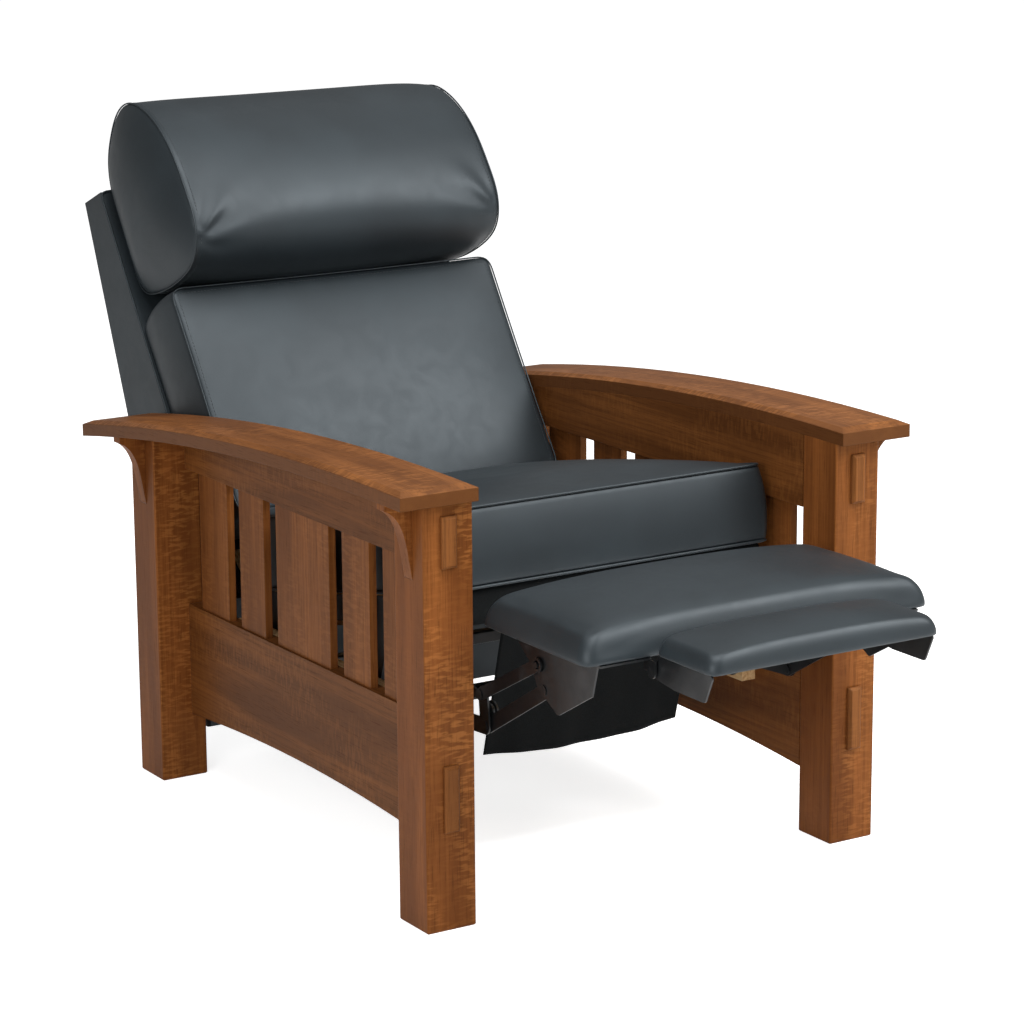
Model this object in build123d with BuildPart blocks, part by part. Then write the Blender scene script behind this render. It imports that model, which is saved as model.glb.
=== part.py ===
from build123d import *
import os
from math import cos, degrees, hypot, radians, sin, atan2

# Mission reclining armchair, in millimetres. The chair stands on z = 0 and faces -Y, +X is the
# sitter's left. It is modelled as photographed, with the footrest out and the back leaning.
# Places along the depth are measured back from the front faces of the front posts.

os.makedirs("parts", exist_ok=True)

# Wooden sides
frame_width = 787.0
frame_depth = 915.0
post_size = 80.0
post_foot_chamfer = 2.0
post_edge_round = 3.0
arm_top_height = 645.0
arm_thickness = 24.0
arm_outer_overhang = 44.5
arm_front_overhang = 16.5
arm_rear_overhang = 83.5
arm_bow_radius = 5400.0
arm_bow_crest = 100.0
arm_bevel_height = 5.0
arm_side_bevel = 11.0
arm_end_bevel = 18.0
rail_thickness = 25.0
lower_rail_top = 288.0
lower_rail_end_bottom = 104.0
lower_rail_arch = 17.0
upper_rail_drop = 135.0
rail_tenon_thickness = 12.0
rail_tenon_length = 30.0
rail_tenon_shoulder = 14.0
slat_thickness = 12.0
slat_setback = 4.0
slat_seat_depth = 10.0
slat_gap = 40.0
outer_slat_width = 95.0
inner_slat_width = 80.0
corbel_projection = 43.0
corbel_drop = 112.0
corbel_thickness = 22.0
corbel_nose = 9.0
corbel_root_tangent = (0.22, 1.0)
corbel_tip_tangent = (1.0, 0.42)
tenon_end_width = 24.0
upper_tenon_end_height = 74.0
upper_tenon_end_drop = 81.0
lower_tenon_end_height = 97.0
lower_tenon_end_centre = 194.0
tenon_end_proud = 8.0
tenon_end_seat = 10.0
tenon_end_bevel = 4.0

# Steel mechanism: plates and links stand in layers, measured out from the middle of the chair
plate_thickness = 3.0
layer_gap = 2.0
seat_rail_gap = 37.0
base_plate_standoff = 6.0
rivet_radius = 4.95
running_clearance = 0.05
rivet_head_radius = 8.0
turned_sides = 12
rivet_head_height = 1.5
collar_radius = 7.0
lobe_radius = 14.0
drive_link_width = 24.0
drive_boss_radius = 15.0
carry_link_width = 22.0
guide_link_width = 12.0
control_link_width = 18.0
control_eye_radius = 10.5

# Pivots, each as (back from the front post faces, up from the floor)
drive_pivot_back = 225.0
drive_pivot_up = 262.0
knee_pivot_back = 45.41
knee_pivot_up = 274.19
pad_pivot_back = -110.0
pad_pivot_up = 365.0
guide_pivot_back = 280.7
guide_pivot_up = 325.3
guide_elbow_back = 195.0
guide_elbow_up = 347.0
guide_knee_back = 41.4
guide_knee_up = 297.8
control_knee_back = 50.0
control_knee_up = 320.7
control_pivot_back = -100.0
control_pivot_up = 400.0
rear_pivot_inset = 13.0
rear_pivot_up = 262.0
seat_guide_back = 340.0
seat_guide_up = 268.0
seat_tilt = 6.0
back_pivot_offset = 102.0
back_pivot_up = 318.0
extension_pivot_back = -256.0
extension_pivot_up = 414.0
open_pin_radius = 4.0
guide_eye_radius = 14.0
guide_eye_hole = 8.6
control_eye_hole = 6.3
torque_rod_radius = 6.0
torque_rod_collar = 10.0
torque_rod_end = 2.5

# Base carried by the wooden sides
cleat_front = 195.0
cleat_rear_offset = 52.0
cleat_below_plate = 5.0
cleat_top = 284.0
base_plate_front = 205.0
base_plate_rear_offset = 42.0
base_plate_margin = 15.5
base_plate_top = 282.0
base_bolt_radius = 3.0
base_bolt_head_radius = 6.0
base_bolt_head_height = 3.5
base_bolt_rail_depth = 15.0
base_bolt_over_edge = 19.0
base_bolt_front_places = (250.0, 490.0)
base_bolt_rear_inset = 20.0
cross_tube_size = 20.0
cross_tube_wall = 1.5
cross_tube_over_edge = 21.0
front_cross_tube_back = 300.0
rear_cross_tube_inset = 113.0

# Seat, built along its own tilted plane from the lower front edge of the cushion
seat_pitch = 11.5
seat_front_back = 132.0
seat_front_up = 452.0
soft_clearance = 0.3
seat_cushion_gap = 23.5
seat_cushion_overhang = 46.0
seat_cushion_boxing = 112.0
seat_cushion_crown = 24.0
cushion_corner = 26.0
cushion_drawn_in = 5.0
cushion_edge_round = 9.0
cushion_welt_share = 0.8
crown_shares = ((0.0, 0.0), (0.16, 0.4), (0.45, 0.78), (0.92, 1.0))
crown_round_share = 0.9
seat_rail_height = 55.0
seat_rail_thickness = 24.0
seat_front_rail_setback = 8.0
seat_box_gap = 363.0
seat_front_rail_roll = 11.0
spring_wire = 3.5
spring_pitch = 48.0
spring_swing = 42.0
seat_spring_count = 4
seat_spring_share = 0.234
spring_drop = 8.0
seat_bolt_radius = 3.5
seat_bolt_head_radius = 6.5
seat_bolt_depth = 16.0
seat_bolt_front_places = (70.0, 250.0)
seat_bolt_rear_inset = 40.0
plate_strip_margin = 8.0
seat_plate_root_back = 138.0
seat_plate_root_spacing = 46.0
flap_gap = 140.5
flap_thickness = 2.0
flap_bottom_back = 206.0
flap_bottom_up = 172.0
flap_sag = 11.0

# Back, built along its own leaning plane from the top front edge of the back frame
back_lean = 34.0
back_top_offset = 519.0
back_top_up = 906.0
back_cover_gap = 15.5
back_cover_wall = 12.0
back_top_thickness = 66.0
back_top_rise = 14.0
back_heel_depth = 243.0
back_heel_drop = 838.0
back_toe_depth = 180.0
back_toe_drop = 887.0
back_front_drop = 731.0
back_cover_round = 14.0
back_stile_width = 25.0
back_stile_depth = 40.0
back_stile_bottom = 722.0
back_cross_rail_height = 40.0
back_cross_rail_depth = 22.0
back_cross_rail_drops = (44.0, 380.0, 700.0)
back_bracket_reach = 600.0
back_bolt_radius = 3.0
back_bolt_depth = 16.0
back_spring_count = 3
back_spring_share = 0.264
back_cushion_gap = 21.5
back_cushion_top = 241.0
back_cushion_bottom = 636.0
back_cushion_boxing = 127.0
back_cushion_crown = 26.0
pillow_gap = 24.5
# Sections of the pillow: share of its half width, share of its full section
pillow_station_shares = (
    (-1.0, 0.88),
    (-0.97, 0.93),
    (-0.9, 0.975),
    (-0.75, 1.0),
    (0.75, 1.0),
    (0.9, 0.975),
    (0.97, 0.93),
    (1.0, 0.88),
)
centre_share = 0.5
pillow_nose = 250.0
pillow_foot = 238.0
pillow_crown = 96.0
# The pillow's profile: shares of its depth and height, each arc by its start, a point on it and its end
pillow_arc_shares = (
    ((0.0, 0.13), (0.37, 0.03), (0.82, 0.0)),
    ((0.82, 0.0), (0.965, 0.09), (1.0, 0.31)),
    ((1.0, 0.31), (0.95, 0.63), (0.76, 0.88)),
    ((0.76, 0.88), (0.5, 1.0), (0.23, 0.93)),
    ((0.23, 0.93), (0.07, 0.84), (0.0, 0.7)),
)

# Footrest and its extension
footrest_bottom = 433.0
footrest_front = -252.0
footrest_rear = 20.0
footrest_gap = 20.5
footrest_height = 67.0
footrest_edge = 26.0
footrest_corner = 30.0
board_thickness = 12.0
board_margin = 14.0
board_corner_share = 0.8
bracket_flange = 28.0
bracket_front = -244.0
bracket_rear = -30.0
bracket_drop_back = -146.0
bracket_drop_up = 338.0
extension_bottom = 440.0
extension_front = -398.0
extension_rear = -262.0
extension_gap = 121.5
extension_height = 44.0
extension_edge = 18.0
extension_corner = 24.0
# Rings of a pad: share of its height, of its edge rounding and of its crown
pad_shares = (
    (0.0, 0.34, 0.0),
    (0.2, 0.0, 0.0),
    (0.5, 0.12, 0.0),
    (0.79, 1.0, 0.08),
    (0.93, 1.0, 0.48),
    (1.0, 1.0, 0.92),
)
extension_arm_gap = 127.5
extension_arm_tip_up = 404.0
extension_arm_tip_front = -370.0
extension_arm_tip_rear = -304.0
extension_arm_round = 5.0
extension_arm_flange = 26.0
ear_radius = 9.0
ear_root_width = 27.0

# One overrun for every cut
overrun = 5.0

# Places worked out from the sizes above
pitch = radians(seat_pitch)
lean = radians(back_lean)
seat_box_depth = frame_depth - seat_box_gap
seat_box_rear = seat_front_back + seat_box_depth * cos(pitch)
rear_pivot_back = seat_box_rear - rear_pivot_inset
back_pivot_back = seat_box_rear + back_pivot_offset
back_top_back = seat_box_rear + back_top_offset
rear_reach = back_top_back + back_top_thickness * cos(lean) + back_top_rise * sin(lean)
front = -(rear_reach + extension_front) / 2
post_centre_x = (frame_width - post_size) / 2
inner_face = frame_width / 2 - post_size
seat_rail_outer = inner_face - seat_rail_gap
seat_cushion_width = 2 * (inner_face - seat_cushion_gap)
seat_cushion_depth = seat_box_depth + seat_cushion_overhang
flap_width = 2 * (inner_face - flap_gap)
back_cover_width = 2 * (inner_face - back_cover_gap)
back_cushion_width = 2 * (inner_face - back_cushion_gap)
pillow_width = 2 * (inner_face - pillow_gap)
footrest_width = 2 * (inner_face - footrest_gap)
extension_width = 2 * (inner_face - extension_gap)
extension_arm_outer = inner_face - extension_arm_gap
upper_rail_bottom = arm_top_height - upper_rail_drop
upper_tenon_end_centre = arm_top_height - upper_tenon_end_drop
rail_outer_face = inner_face + rail_thickness
rail_middle = inner_face + rail_thickness / 2
bow_centre = (front + arm_bow_crest, arm_top_height - arm_bow_radius)
underside_radius = arm_bow_radius - arm_thickness
rails_front = front + post_size
rails_rear = front + frame_depth - post_size
slat_plane = rail_outer_face - slat_setback - slat_thickness
seat_plate_inner = seat_rail_outer
outer_layer = seat_plate_inner - layer_gap - plate_thickness
first_layer = outer_layer - layer_gap - plate_thickness
second_layer = first_layer - layer_gap - plate_thickness
third_layer = second_layer - layer_gap - plate_thickness
base_plate_inner = seat_plate_inner + plate_thickness + base_plate_standoff
cleat_inner = base_plate_inner + plate_thickness
plate_outer = seat_plate_inner + plate_thickness
slot_fall = (rear_pivot_back - seat_guide_back) * sin(radians(seat_tilt))
base_plate_rear = seat_box_rear + base_plate_rear_offset
base_plate_bottom = seat_guide_up - slot_fall - base_plate_margin
base_bolt_places = (*base_bolt_front_places, base_plate_rear - base_bolt_rear_inset)
base_bolt_up = base_plate_bottom + base_bolt_over_edge
cleat_rear = seat_box_rear + cleat_rear_offset
cleat_bottom = base_plate_bottom - cleat_below_plate
cross_tube_up = base_plate_bottom + cross_tube_over_edge
rear_cross_tube_back = seat_box_rear - rear_cross_tube_inset
side_rail_start = seat_front_rail_setback + seat_rail_thickness
side_rail_length = seat_box_depth - side_rail_start
seat_bolt_places = (*seat_bolt_front_places, side_rail_length - seat_bolt_rear_inset)
back_stile_top = back_cover_wall + 2 * soft_clearance
SIDES = {"left": 1, "right": -1}


def place(back, up):
    """A point of the side view, from its distances behind the front faces and above the floor."""
    return (front + back, up)


drive_pivot = place(drive_pivot_back, drive_pivot_up)
knee_pivot = place(knee_pivot_back, knee_pivot_up)
pad_pivot = place(pad_pivot_back, pad_pivot_up)
guide_pivot = place(guide_pivot_back, guide_pivot_up)
guide_elbow = place(guide_elbow_back, guide_elbow_up)
guide_knee = place(guide_knee_back, guide_knee_up)
control_knee = place(control_knee_back, control_knee_up)
control_pivot = place(control_pivot_back, control_pivot_up)
rear_pivot = place(rear_pivot_back, rear_pivot_up)
seat_guide = place(seat_guide_back, seat_guide_up)
back_pivot = place(back_pivot_back, back_pivot_up)
extension_pivot = place(extension_pivot_back, extension_pivot_up)

seat_origin = (0, front + seat_front_back, seat_front_up)
back_origin = (0, front + back_top_back, back_top_up)


def finish(piece, name):
    """Label a finished piece and write it to its own file."""
    piece.part.label = name
    export_step(piece.part, f"parts/{name}.step")


def side_plane(near, far, side):
    """The side-view plane from which an extrusion toward +X fills near to far on one side."""
    return Plane.YZ.offset(near if side > 0 else -far)


def seat_plane(back, up):
    """A plane along the seat, its origin a distance back along it and up from it."""
    return Plane(
        origin=(
            0,
            seat_origin[1] + back * cos(pitch) + up * sin(pitch),
            seat_origin[2] - back * sin(pitch) + up * cos(pitch),
        ),
        x_dir=(1, 0, 0),
        z_dir=(0, sin(pitch), cos(pitch)),
    )


def seat_point(back, up):
    """A side-view point given along the seat and up from it."""
    origin = seat_plane(back, up).origin
    return (origin.Y, origin.Z)


def back_plane(forward):
    """A plane along the back, x across and y up the back, a distance in front of its frame."""
    return Plane(
        origin=(
            0,
            back_origin[1] - forward * cos(lean),
            back_origin[2] + forward * sin(lean),
        ),
        x_dir=(1, 0, 0),
        z_dir=(0, -cos(lean), sin(lean)),
    )


def back_side_plane(x):
    """A side-view plane in the back's own directions: x forward of it and y up along it."""
    return Plane(
        origin=(x, back_origin[1], back_origin[2]),
        x_dir=(0, -cos(lean), sin(lean)),
        z_dir=(-1, 0, 0),
    )


def back_point(forward, drop):
    """A side-view point given in front of the back frame and down from its top."""
    return (
        back_origin[1] - forward * cos(lean) - drop * sin(lean),
        back_origin[2] + forward * sin(lean) - drop * cos(lean),
    )


def trim_under_arm():
    """Keep what lies inside the long arc of the arm's underside."""
    with BuildSketch(Plane.YZ.offset(-frame_width)) as profile:
        with Locations(bow_centre):
            Circle(underside_radius)
    extrude(profile.sketch, amount=2 * frame_width, mode=Mode.INTERSECT)


def hull_plate(circles, near, side):
    """One flat plate whose outline is drawn tight round a few circles."""
    with BuildSketch(side_plane(near, near + plate_thickness, side)) as profile:
        for (y, z), radius in circles:
            with Locations((y, z)):
                Circle(radius)
        make_hull()
    extrude(profile.sketch, amount=plate_thickness)


def bore(point, radius, near, side, depth=plate_thickness):
    """A round hole through one layer."""
    with BuildSketch(side_plane(near - overrun, near + depth + overrun, side)) as profile:
        with Locations(point):
            Circle(radius)
    extrude(profile.sketch, amount=depth + 2 * overrun, mode=Mode.SUBTRACT)


def pin(point, radius, near, far, side):
    """A round pin between two distances from the middle of the chair."""
    with BuildSketch(side_plane(near, far, side)) as profile:
        with Locations(point):
            Circle(radius)
    extrude(profile.sketch, amount=far - near)


def flat_sided(point, radius, near, far, side, sides):
    """A bolt head, rivet head or collar with flat sides between two distances from the middle."""
    with BuildSketch(side_plane(near, far, side)) as profile:
        with Locations(point):
            RegularPolygon(radius, sides)
    extrude(profile.sketch, amount=far - near)


def hex_head(point, radius, near, height, side):
    """A six-sided bolt head."""
    flat_sided(point, radius, near, near + height, side, 6)


def rivet_head(point, near, side):
    """A low head on the end of a rivet."""
    flat_sided(point, rivet_head_radius, near, near + rivet_head_height, side, turned_sides)


def collar(point, near, far, side, radius=collar_radius):
    """A collar that keeps two layers apart."""
    flat_sided(point, radius, near, far, side, turned_sides)


def rivet(point, inner, outer, side, spacer, outer_head=True):
    """A rivet through everything between inner and outer, with a collar as a spacer."""
    pin(point, rivet_radius, inner, outer, side)
    rivet_head(point, inner - rivet_head_height, side)
    if outer_head:
        rivet_head(point, outer, side)
    collar(point, *spacer, side)


def post_middle(end):
    """How far along the depth a front (-1) or rear (1) post stands."""
    return rails_front - post_size / 2 if end < 0 else rails_rear + post_size / 2


def slat_layout():
    """The width and middle of the five slats, from the gap behind the front post to the rear one."""
    clear = rails_rear - rails_front
    centre_width = clear - 6 * slat_gap - 2 * outer_slat_width - 2 * inner_slat_width
    widths = (outer_slat_width, inner_slat_width, centre_width, inner_slat_width, outer_slat_width)
    middles = []
    edge = rails_front
    for width in widths:
        edge += slat_gap
        middles.append(edge + width / 2)
        edge += width
    return widths, middles


# Posts: square, with mortises for the side rails and pockets for the tenon ends on the front pair

def rail_tenon(side, end, bottom, top, mode=Mode.ADD):
    """The stub tenon of a side rail, or its mortise, at the front (-1) or rear (1) end."""
    length = rail_tenon_length
    middle_y = rails_front - length / 2 if end < 0 else rails_rear + length / 2
    with BuildSketch(Plane(origin=(side * rail_middle, middle_y, bottom))) as profile:
        Rectangle(rail_tenon_thickness, length)
    extrude(profile.sketch, amount=top - bottom, mode=mode)


def rail_tenon_heights(end):
    """Bottom and top of the lower and upper rail's tenons at one end."""
    lower = (lower_rail_end_bottom + rail_tenon_shoulder, lower_rail_top - rail_tenon_shoulder)
    reach = (rails_front if end < 0 else rails_rear + rail_tenon_length) - bow_centre[0]
    under = bow_centre[1] + (underside_radius**2 - reach**2) ** 0.5
    upper = (upper_rail_bottom + rail_tenon_shoulder, under - rail_tenon_shoulder)
    return lower, upper


def make_post(side, end):
    with BuildPart() as post:
        with BuildSketch(Plane(origin=(side * post_centre_x, post_middle(end), 0))):
            RectangleRounded(post_size, post_size, post_edge_round)
        extrude(amount=arm_top_height)
        trim_under_arm()
        chamfer(post.faces().sort_by(Axis.Z)[0].edges(), post_foot_chamfer)
        for bottom, top in rail_tenon_heights(end):
            rail_tenon(side, end, bottom, top, Mode.SUBTRACT)
        if end < 0:
            for centre, height in (
                (upper_tenon_end_centre, upper_tenon_end_height),
                (lower_tenon_end_centre, lower_tenon_end_height),
            ):
                pocket = Plane(origin=(side * post_centre_x, front, centre), x_dir=(1, 0, 0), z_dir=(0, 1, 0))
                with BuildSketch(pocket):
                    Rectangle(tenon_end_width, height)
                extrude(amount=tenon_end_seat, mode=Mode.SUBTRACT)
    return post


for side_name, side in SIDES.items():
    finish(make_post(side, -1), f"front_{side_name}_post")
    finish(make_post(side, 1), f"rear_{side_name}_post")


# Arms: one bowed board on each side, bevelled all round its top

def make_arm(side):
    width = post_size + arm_outer_overhang
    length = frame_depth + arm_front_overhang + arm_rear_overhang
    middle = front - arm_front_overhang + length / 2
    near = inner_face if side > 0 else -(inner_face + width)
    with BuildPart() as arm:
        with BuildSketch(Plane.YZ.offset(near)):
            with Locations(bow_centre):
                Circle(arm_bow_radius)
            with Locations(bow_centre):
                Circle(underside_radius, mode=Mode.SUBTRACT)
            with Locations((middle, arm_top_height)):
                Rectangle(length, arm_top_height, mode=Mode.INTERSECT)
        extrude(amount=width)
        top = arm.faces().filter_by(GeomType.CYLINDER).sort_by(Axis.Z)[-1]
        chamfer(top.edges().filter_by(GeomType.LINE), arm_end_bevel, arm_bevel_height, reference=top)
        top = arm.faces().filter_by(GeomType.CYLINDER).sort_by(Axis.Z)[-1]
        chamfer(top.edges().filter_by(GeomType.CIRCLE), arm_side_bevel, arm_bevel_height, reference=top)
    return arm


for side_name, side in SIDES.items():
    finish(make_arm(side), f"{side_name}_arm")


# Corbels: a bracket with a hollow curve under each end of the arms

def make_corbel(side, end):
    root = frame_width / 2
    middle = post_middle(end)
    reach = middle - bow_centre[0]
    top = bow_centre[1] + (underside_radius**2 - reach**2) ** 0.5
    foot = top - corbel_drop
    tip = root + corbel_projection
    with BuildPart() as corbel:
        with BuildSketch(Plane.XZ.offset(-middle - corbel_thickness / 2)):
            with BuildLine():
                Polyline(
                    (tip, top - corbel_nose),
                    (tip, arm_top_height),
                    (root, arm_top_height),
                    (root, foot),
                )
                Spline(
                    (root, foot),
                    (tip, top - corbel_nose),
                    tangents=(corbel_root_tangent, corbel_tip_tangent),
                )
            make_face()
        extrude(amount=corbel_thickness)
        trim_under_arm()
        if side < 0:
            mirror(about=Plane.YZ, mode=Mode.REPLACE)
    return corbel


for side_name, side in SIDES.items():
    finish(make_corbel(side, -1), f"front_{side_name}_corbel")
    finish(make_corbel(side, 1), f"rear_{side_name}_corbel")


# Side rails: the lower one arched underneath, the upper one following the arm, both slotted for slats

def slat_seats(side, bottom, top):
    """The mortises that the slat ends fill."""
    widths, middles = slat_layout()
    for width, middle in zip(widths, middles):
        with BuildSketch(Plane(origin=(side * (slat_plane + slat_thickness / 2), middle, bottom))) as profile:
            Rectangle(slat_thickness, width)
        extrude(profile.sketch, amount=top - bottom, mode=Mode.SUBTRACT)


def bolt_seats(side):
    """Holes in the lower rail for the bolts of the mechanism."""
    for back in base_bolt_places:
        with BuildSketch(side_plane(inner_face, inner_face + base_bolt_rail_depth, side)) as profile:
            with Locations(place(back, base_bolt_up)):
                Circle(base_bolt_radius)
        extrude(profile.sketch, amount=base_bolt_rail_depth, mode=Mode.SUBTRACT)


def make_lower_rail(side):
    with BuildPart() as rail:
        with BuildSketch(side_plane(inner_face, rail_outer_face, side)):
            with BuildLine():
                Polyline(
                    (rails_rear, lower_rail_end_bottom),
                    (rails_rear, lower_rail_top),
                    (rails_front, lower_rail_top),
                    (rails_front, lower_rail_end_bottom),
                )
                ThreePointArc(
                    (rails_front, lower_rail_end_bottom),
                    ((rails_front + rails_rear) / 2, lower_rail_end_bottom + lower_rail_arch),
                    (rails_rear, lower_rail_end_bottom),
                )
            make_face()
        extrude(amount=rail_thickness)
        for end in (-1, 1):
            rail_tenon(side, end, *rail_tenon_heights(end)[0])
        slat_seats(side, lower_rail_top - slat_seat_depth, lower_rail_top)
        bolt_seats(side)
    return rail


def make_upper_rail(side):
    with BuildPart() as rail:
        with BuildSketch(side_plane(inner_face, rail_outer_face, side)):
            middle_up = (upper_rail_bottom + arm_top_height) / 2
            with Locations(((rails_front + rails_rear) / 2, middle_up)):
                Rectangle(rails_rear - rails_front, arm_top_height - upper_rail_bottom)
        extrude(amount=rail_thickness)
        trim_under_arm()
        for end in (-1, 1):
            rail_tenon(side, end, *rail_tenon_heights(end)[1])
        slat_seats(side, upper_rail_bottom, upper_rail_bottom + slat_seat_depth)
    return rail


for side_name, side in SIDES.items():
    finish(make_lower_rail(side), f"{side_name}_lower_rail")
    finish(make_upper_rail(side), f"{side_name}_upper_rail")


# Slats: a wide one in the middle of each side, two narrower ones toward each end

def make_slats(side, chosen):
    widths, middles = slat_layout()
    bottom = lower_rail_top - slat_seat_depth
    with BuildPart() as slats:
        for index in chosen:
            origin = (side * (slat_plane + slat_thickness / 2), middles[index], bottom)
            with BuildSketch(Plane(origin=origin)):
                Rectangle(slat_thickness, widths[index])
            extrude(amount=upper_rail_bottom + slat_seat_depth - bottom)
    return slats


for side_name, side in SIDES.items():
    finish(make_slats(side, (0, 4)), f"{side_name}_outer_slats")
    finish(make_slats(side, (1, 3)), f"{side_name}_inner_slats")
    finish(make_slats(side, (2,)), f"{side_name}_centre_slat")


# Tenon ends: proud, bevelled blocks let into the fronts of the front posts

def make_tenon_ends(centre, height):
    with BuildPart() as ends:
        for side in SIDES.values():
            origin = (side * post_centre_x, front + tenon_end_seat, centre)
            with BuildSketch(Plane(origin=origin, x_dir=(1, 0, 0), z_dir=(0, -1, 0))):
                Rectangle(tenon_end_width, height)
            extrude(amount=tenon_end_seat + tenon_end_proud)
        faces = ends.faces().filter_by(Axis.Y).group_by(Axis.Y)[0]
        chamfer(faces.edges(), tenon_end_bevel)
    return ends


finish(make_tenon_ends(upper_tenon_end_centre, upper_tenon_end_height), "upper_tenon_ends")
finish(make_tenon_ends(lower_tenon_end_centre, lower_tenon_end_height), "lower_tenon_ends")


# Base of the mechanism: a wooden cleat and a steel plate on each lower rail, joined by two tubes

with BuildPart() as mounting_cleats:
    for side in SIDES.values():
        with BuildSketch(side_plane(cleat_inner, inner_face, side)):
            with Locations(place((cleat_front + cleat_rear) / 2, (cleat_bottom + cleat_top) / 2)):
                Rectangle(cleat_rear - cleat_front, cleat_top - cleat_bottom)
        extrude(amount=inner_face - cleat_inner)
        for back in base_bolt_places:
            bore(place(back, base_bolt_up), base_bolt_radius, cleat_inner, side, inner_face - cleat_inner)
finish(mounting_cleats, "mounting_cleats")


guide_run = (seat_guide[0] - rear_pivot[0], seat_guide[1] - rear_pivot[1])
guide_start = degrees(atan2(guide_run[1], guide_run[0]))
seat_guide_path = CenterArc(rear_pivot, hypot(*guide_run), guide_start, seat_tilt)


def make_base_plate(side):
    with BuildPart() as plate:
        with BuildSketch(side_plane(base_plate_inner, cleat_inner, side)):
            centre = place((base_plate_front + base_plate_rear) / 2, (base_plate_bottom + base_plate_top) / 2)
            with Locations(centre):
                RectangleRounded(
                    base_plate_rear - base_plate_front, base_plate_top - base_plate_bottom, lobe_radius
                )
        extrude(amount=plate_thickness)
        bore(rear_pivot, rivet_radius, base_plate_inner, side)
        with BuildSketch(side_plane(base_plate_inner, cleat_inner, side)):
            SlotArc(seat_guide_path, 2 * (rivet_radius + 2 * running_clearance))
        extrude(amount=plate_thickness + overrun, both=True, mode=Mode.SUBTRACT)
        for back in base_bolt_places:
            bore(place(back, base_bolt_up), base_bolt_radius, base_plate_inner, side)
    return plate


for side_name, side in SIDES.items():
    finish(make_base_plate(side), f"{side_name}_base_plate")


def make_cross_tube(back):
    with BuildPart() as tube:
        with BuildSketch(Plane.YZ.offset(-base_plate_inner)):
            with Locations(place(back, cross_tube_up)):
                RectangleRounded(cross_tube_size, cross_tube_size, 2 * cross_tube_wall)
                inside = cross_tube_size - 2 * cross_tube_wall
                RectangleRounded(inside, inside, cross_tube_wall, mode=Mode.SUBTRACT)
        extrude(amount=2 * base_plate_inner)
    return tube


finish(make_cross_tube(front_cross_tube_back), "front_cross_tube")
finish(make_cross_tube(rear_cross_tube_back), "rear_cross_tube")

with BuildPart() as base_bolts:
    for side in SIDES.values():
        for back in base_bolt_places:
            point = place(back, base_bolt_up)
            head_face = base_plate_inner - base_bolt_head_height
            pin(point, base_bolt_radius, base_plate_inner, inner_face + base_bolt_rail_depth, side)
            hex_head(point, base_bolt_head_radius, head_face, base_bolt_head_height, side)
        pin(rear_pivot, rivet_radius, seat_plate_inner, cleat_inner, side)
        rivet_head(rear_pivot, seat_plate_inner - rivet_head_height, side)
        collar(rear_pivot, plate_outer + running_clearance, base_plate_inner, side)
finish(base_bolts, "base_bolts")


# Seat box: four rails under the cushion

def rail_block(width, back, depth):
    """A rail of the seat box, its top in the seat plane."""
    with BuildSketch(seat_plane(back + depth / 2, -seat_rail_height)) as profile:
        Rectangle(width, depth)
    extrude(profile.sketch, amount=seat_rail_height)


with BuildPart() as seat_front_rail:
    rail_block(2 * seat_rail_outer, seat_front_rail_setback, seat_rail_thickness)
    fillet(seat_front_rail.edges().filter_by(Axis.X).sort_by(Axis.Y)[0], seat_front_rail_roll)
finish(seat_front_rail, "seat_front_rail")

with BuildPart() as seat_side_rails:
    for side in SIDES.values():
        middle_x = side * (seat_rail_outer - seat_rail_thickness / 2)
        plane = seat_plane(side_rail_start + side_rail_length / 2, -seat_rail_height)
        with BuildSketch(plane):
            with Locations((middle_x, 0)):
                Rectangle(seat_rail_thickness, side_rail_length)
        extrude(amount=seat_rail_height)
    for side in SIDES.values():
        for back in seat_bolt_places:
            point = seat_point(side_rail_start + back, -seat_rail_height / 2)
            near = seat_rail_outer - seat_bolt_depth
            with BuildSketch(side_plane(near, seat_rail_outer, side)):
                with Locations(point):
                    Circle(seat_bolt_radius)
            extrude(amount=seat_bolt_depth, mode=Mode.SUBTRACT)
finish(seat_side_rails, "seat_side_rails")

with BuildPart() as seat_rear_rail:
    inner_width = 2 * (seat_rail_outer - seat_rail_thickness)
    rail_block(inner_width, seat_box_depth - seat_rail_thickness, seat_rail_thickness)
finish(seat_rear_rail, "seat_rear_rail")


def zigzag(length, lanes, pitch_length, swing, plane, thickness):
    """Flat zigzag springs side by side: each runs along y of its plane in equal slanted strokes."""
    strokes = max(2, int(length / pitch_length))
    stroke = length / strokes
    with BuildSketch(plane) as profile:
        for lane in lanes:
            points = [
                (lane + swing / 2 * (1 if index % 2 else -1), index * stroke)
                for index in range(strokes + 1)
            ]
            for start, end in zip(points, points[1:]):
                run = hypot(end[0] - start[0], end[1] - start[1])
                turn = degrees(atan2(end[1] - start[1], end[0] - start[0]))
                middle = ((start[0] + end[0]) / 2, (start[1] + end[1]) / 2, 0)
                with Locations(Location(middle, (0, 0, turn))):
                    Rectangle(run + thickness, thickness)
        with Locations((0, length / 2)):
            Rectangle(2 * frame_width, length, mode=Mode.INTERSECT)
    extrude(profile.sketch, amount=thickness)


def spring_lanes(count, clear_width, spread_share):
    """Where springs stand side by side across a frame's clear width."""
    return [(index - (count - 1) / 2) * spread_share * clear_width for index in range(count)]


with BuildPart() as seat_springs:
    seat_clear_width = 2 * (seat_rail_outer - seat_rail_thickness)
    lanes = spring_lanes(seat_spring_count, seat_clear_width, seat_spring_share)
    spring_length = side_rail_length - seat_rail_thickness
    spring_plane = seat_plane(side_rail_start, -spring_drop)
    zigzag(spring_length, lanes, spring_pitch, spring_swing, spring_plane, spring_wire)
finish(seat_springs, "seat_springs")


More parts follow.
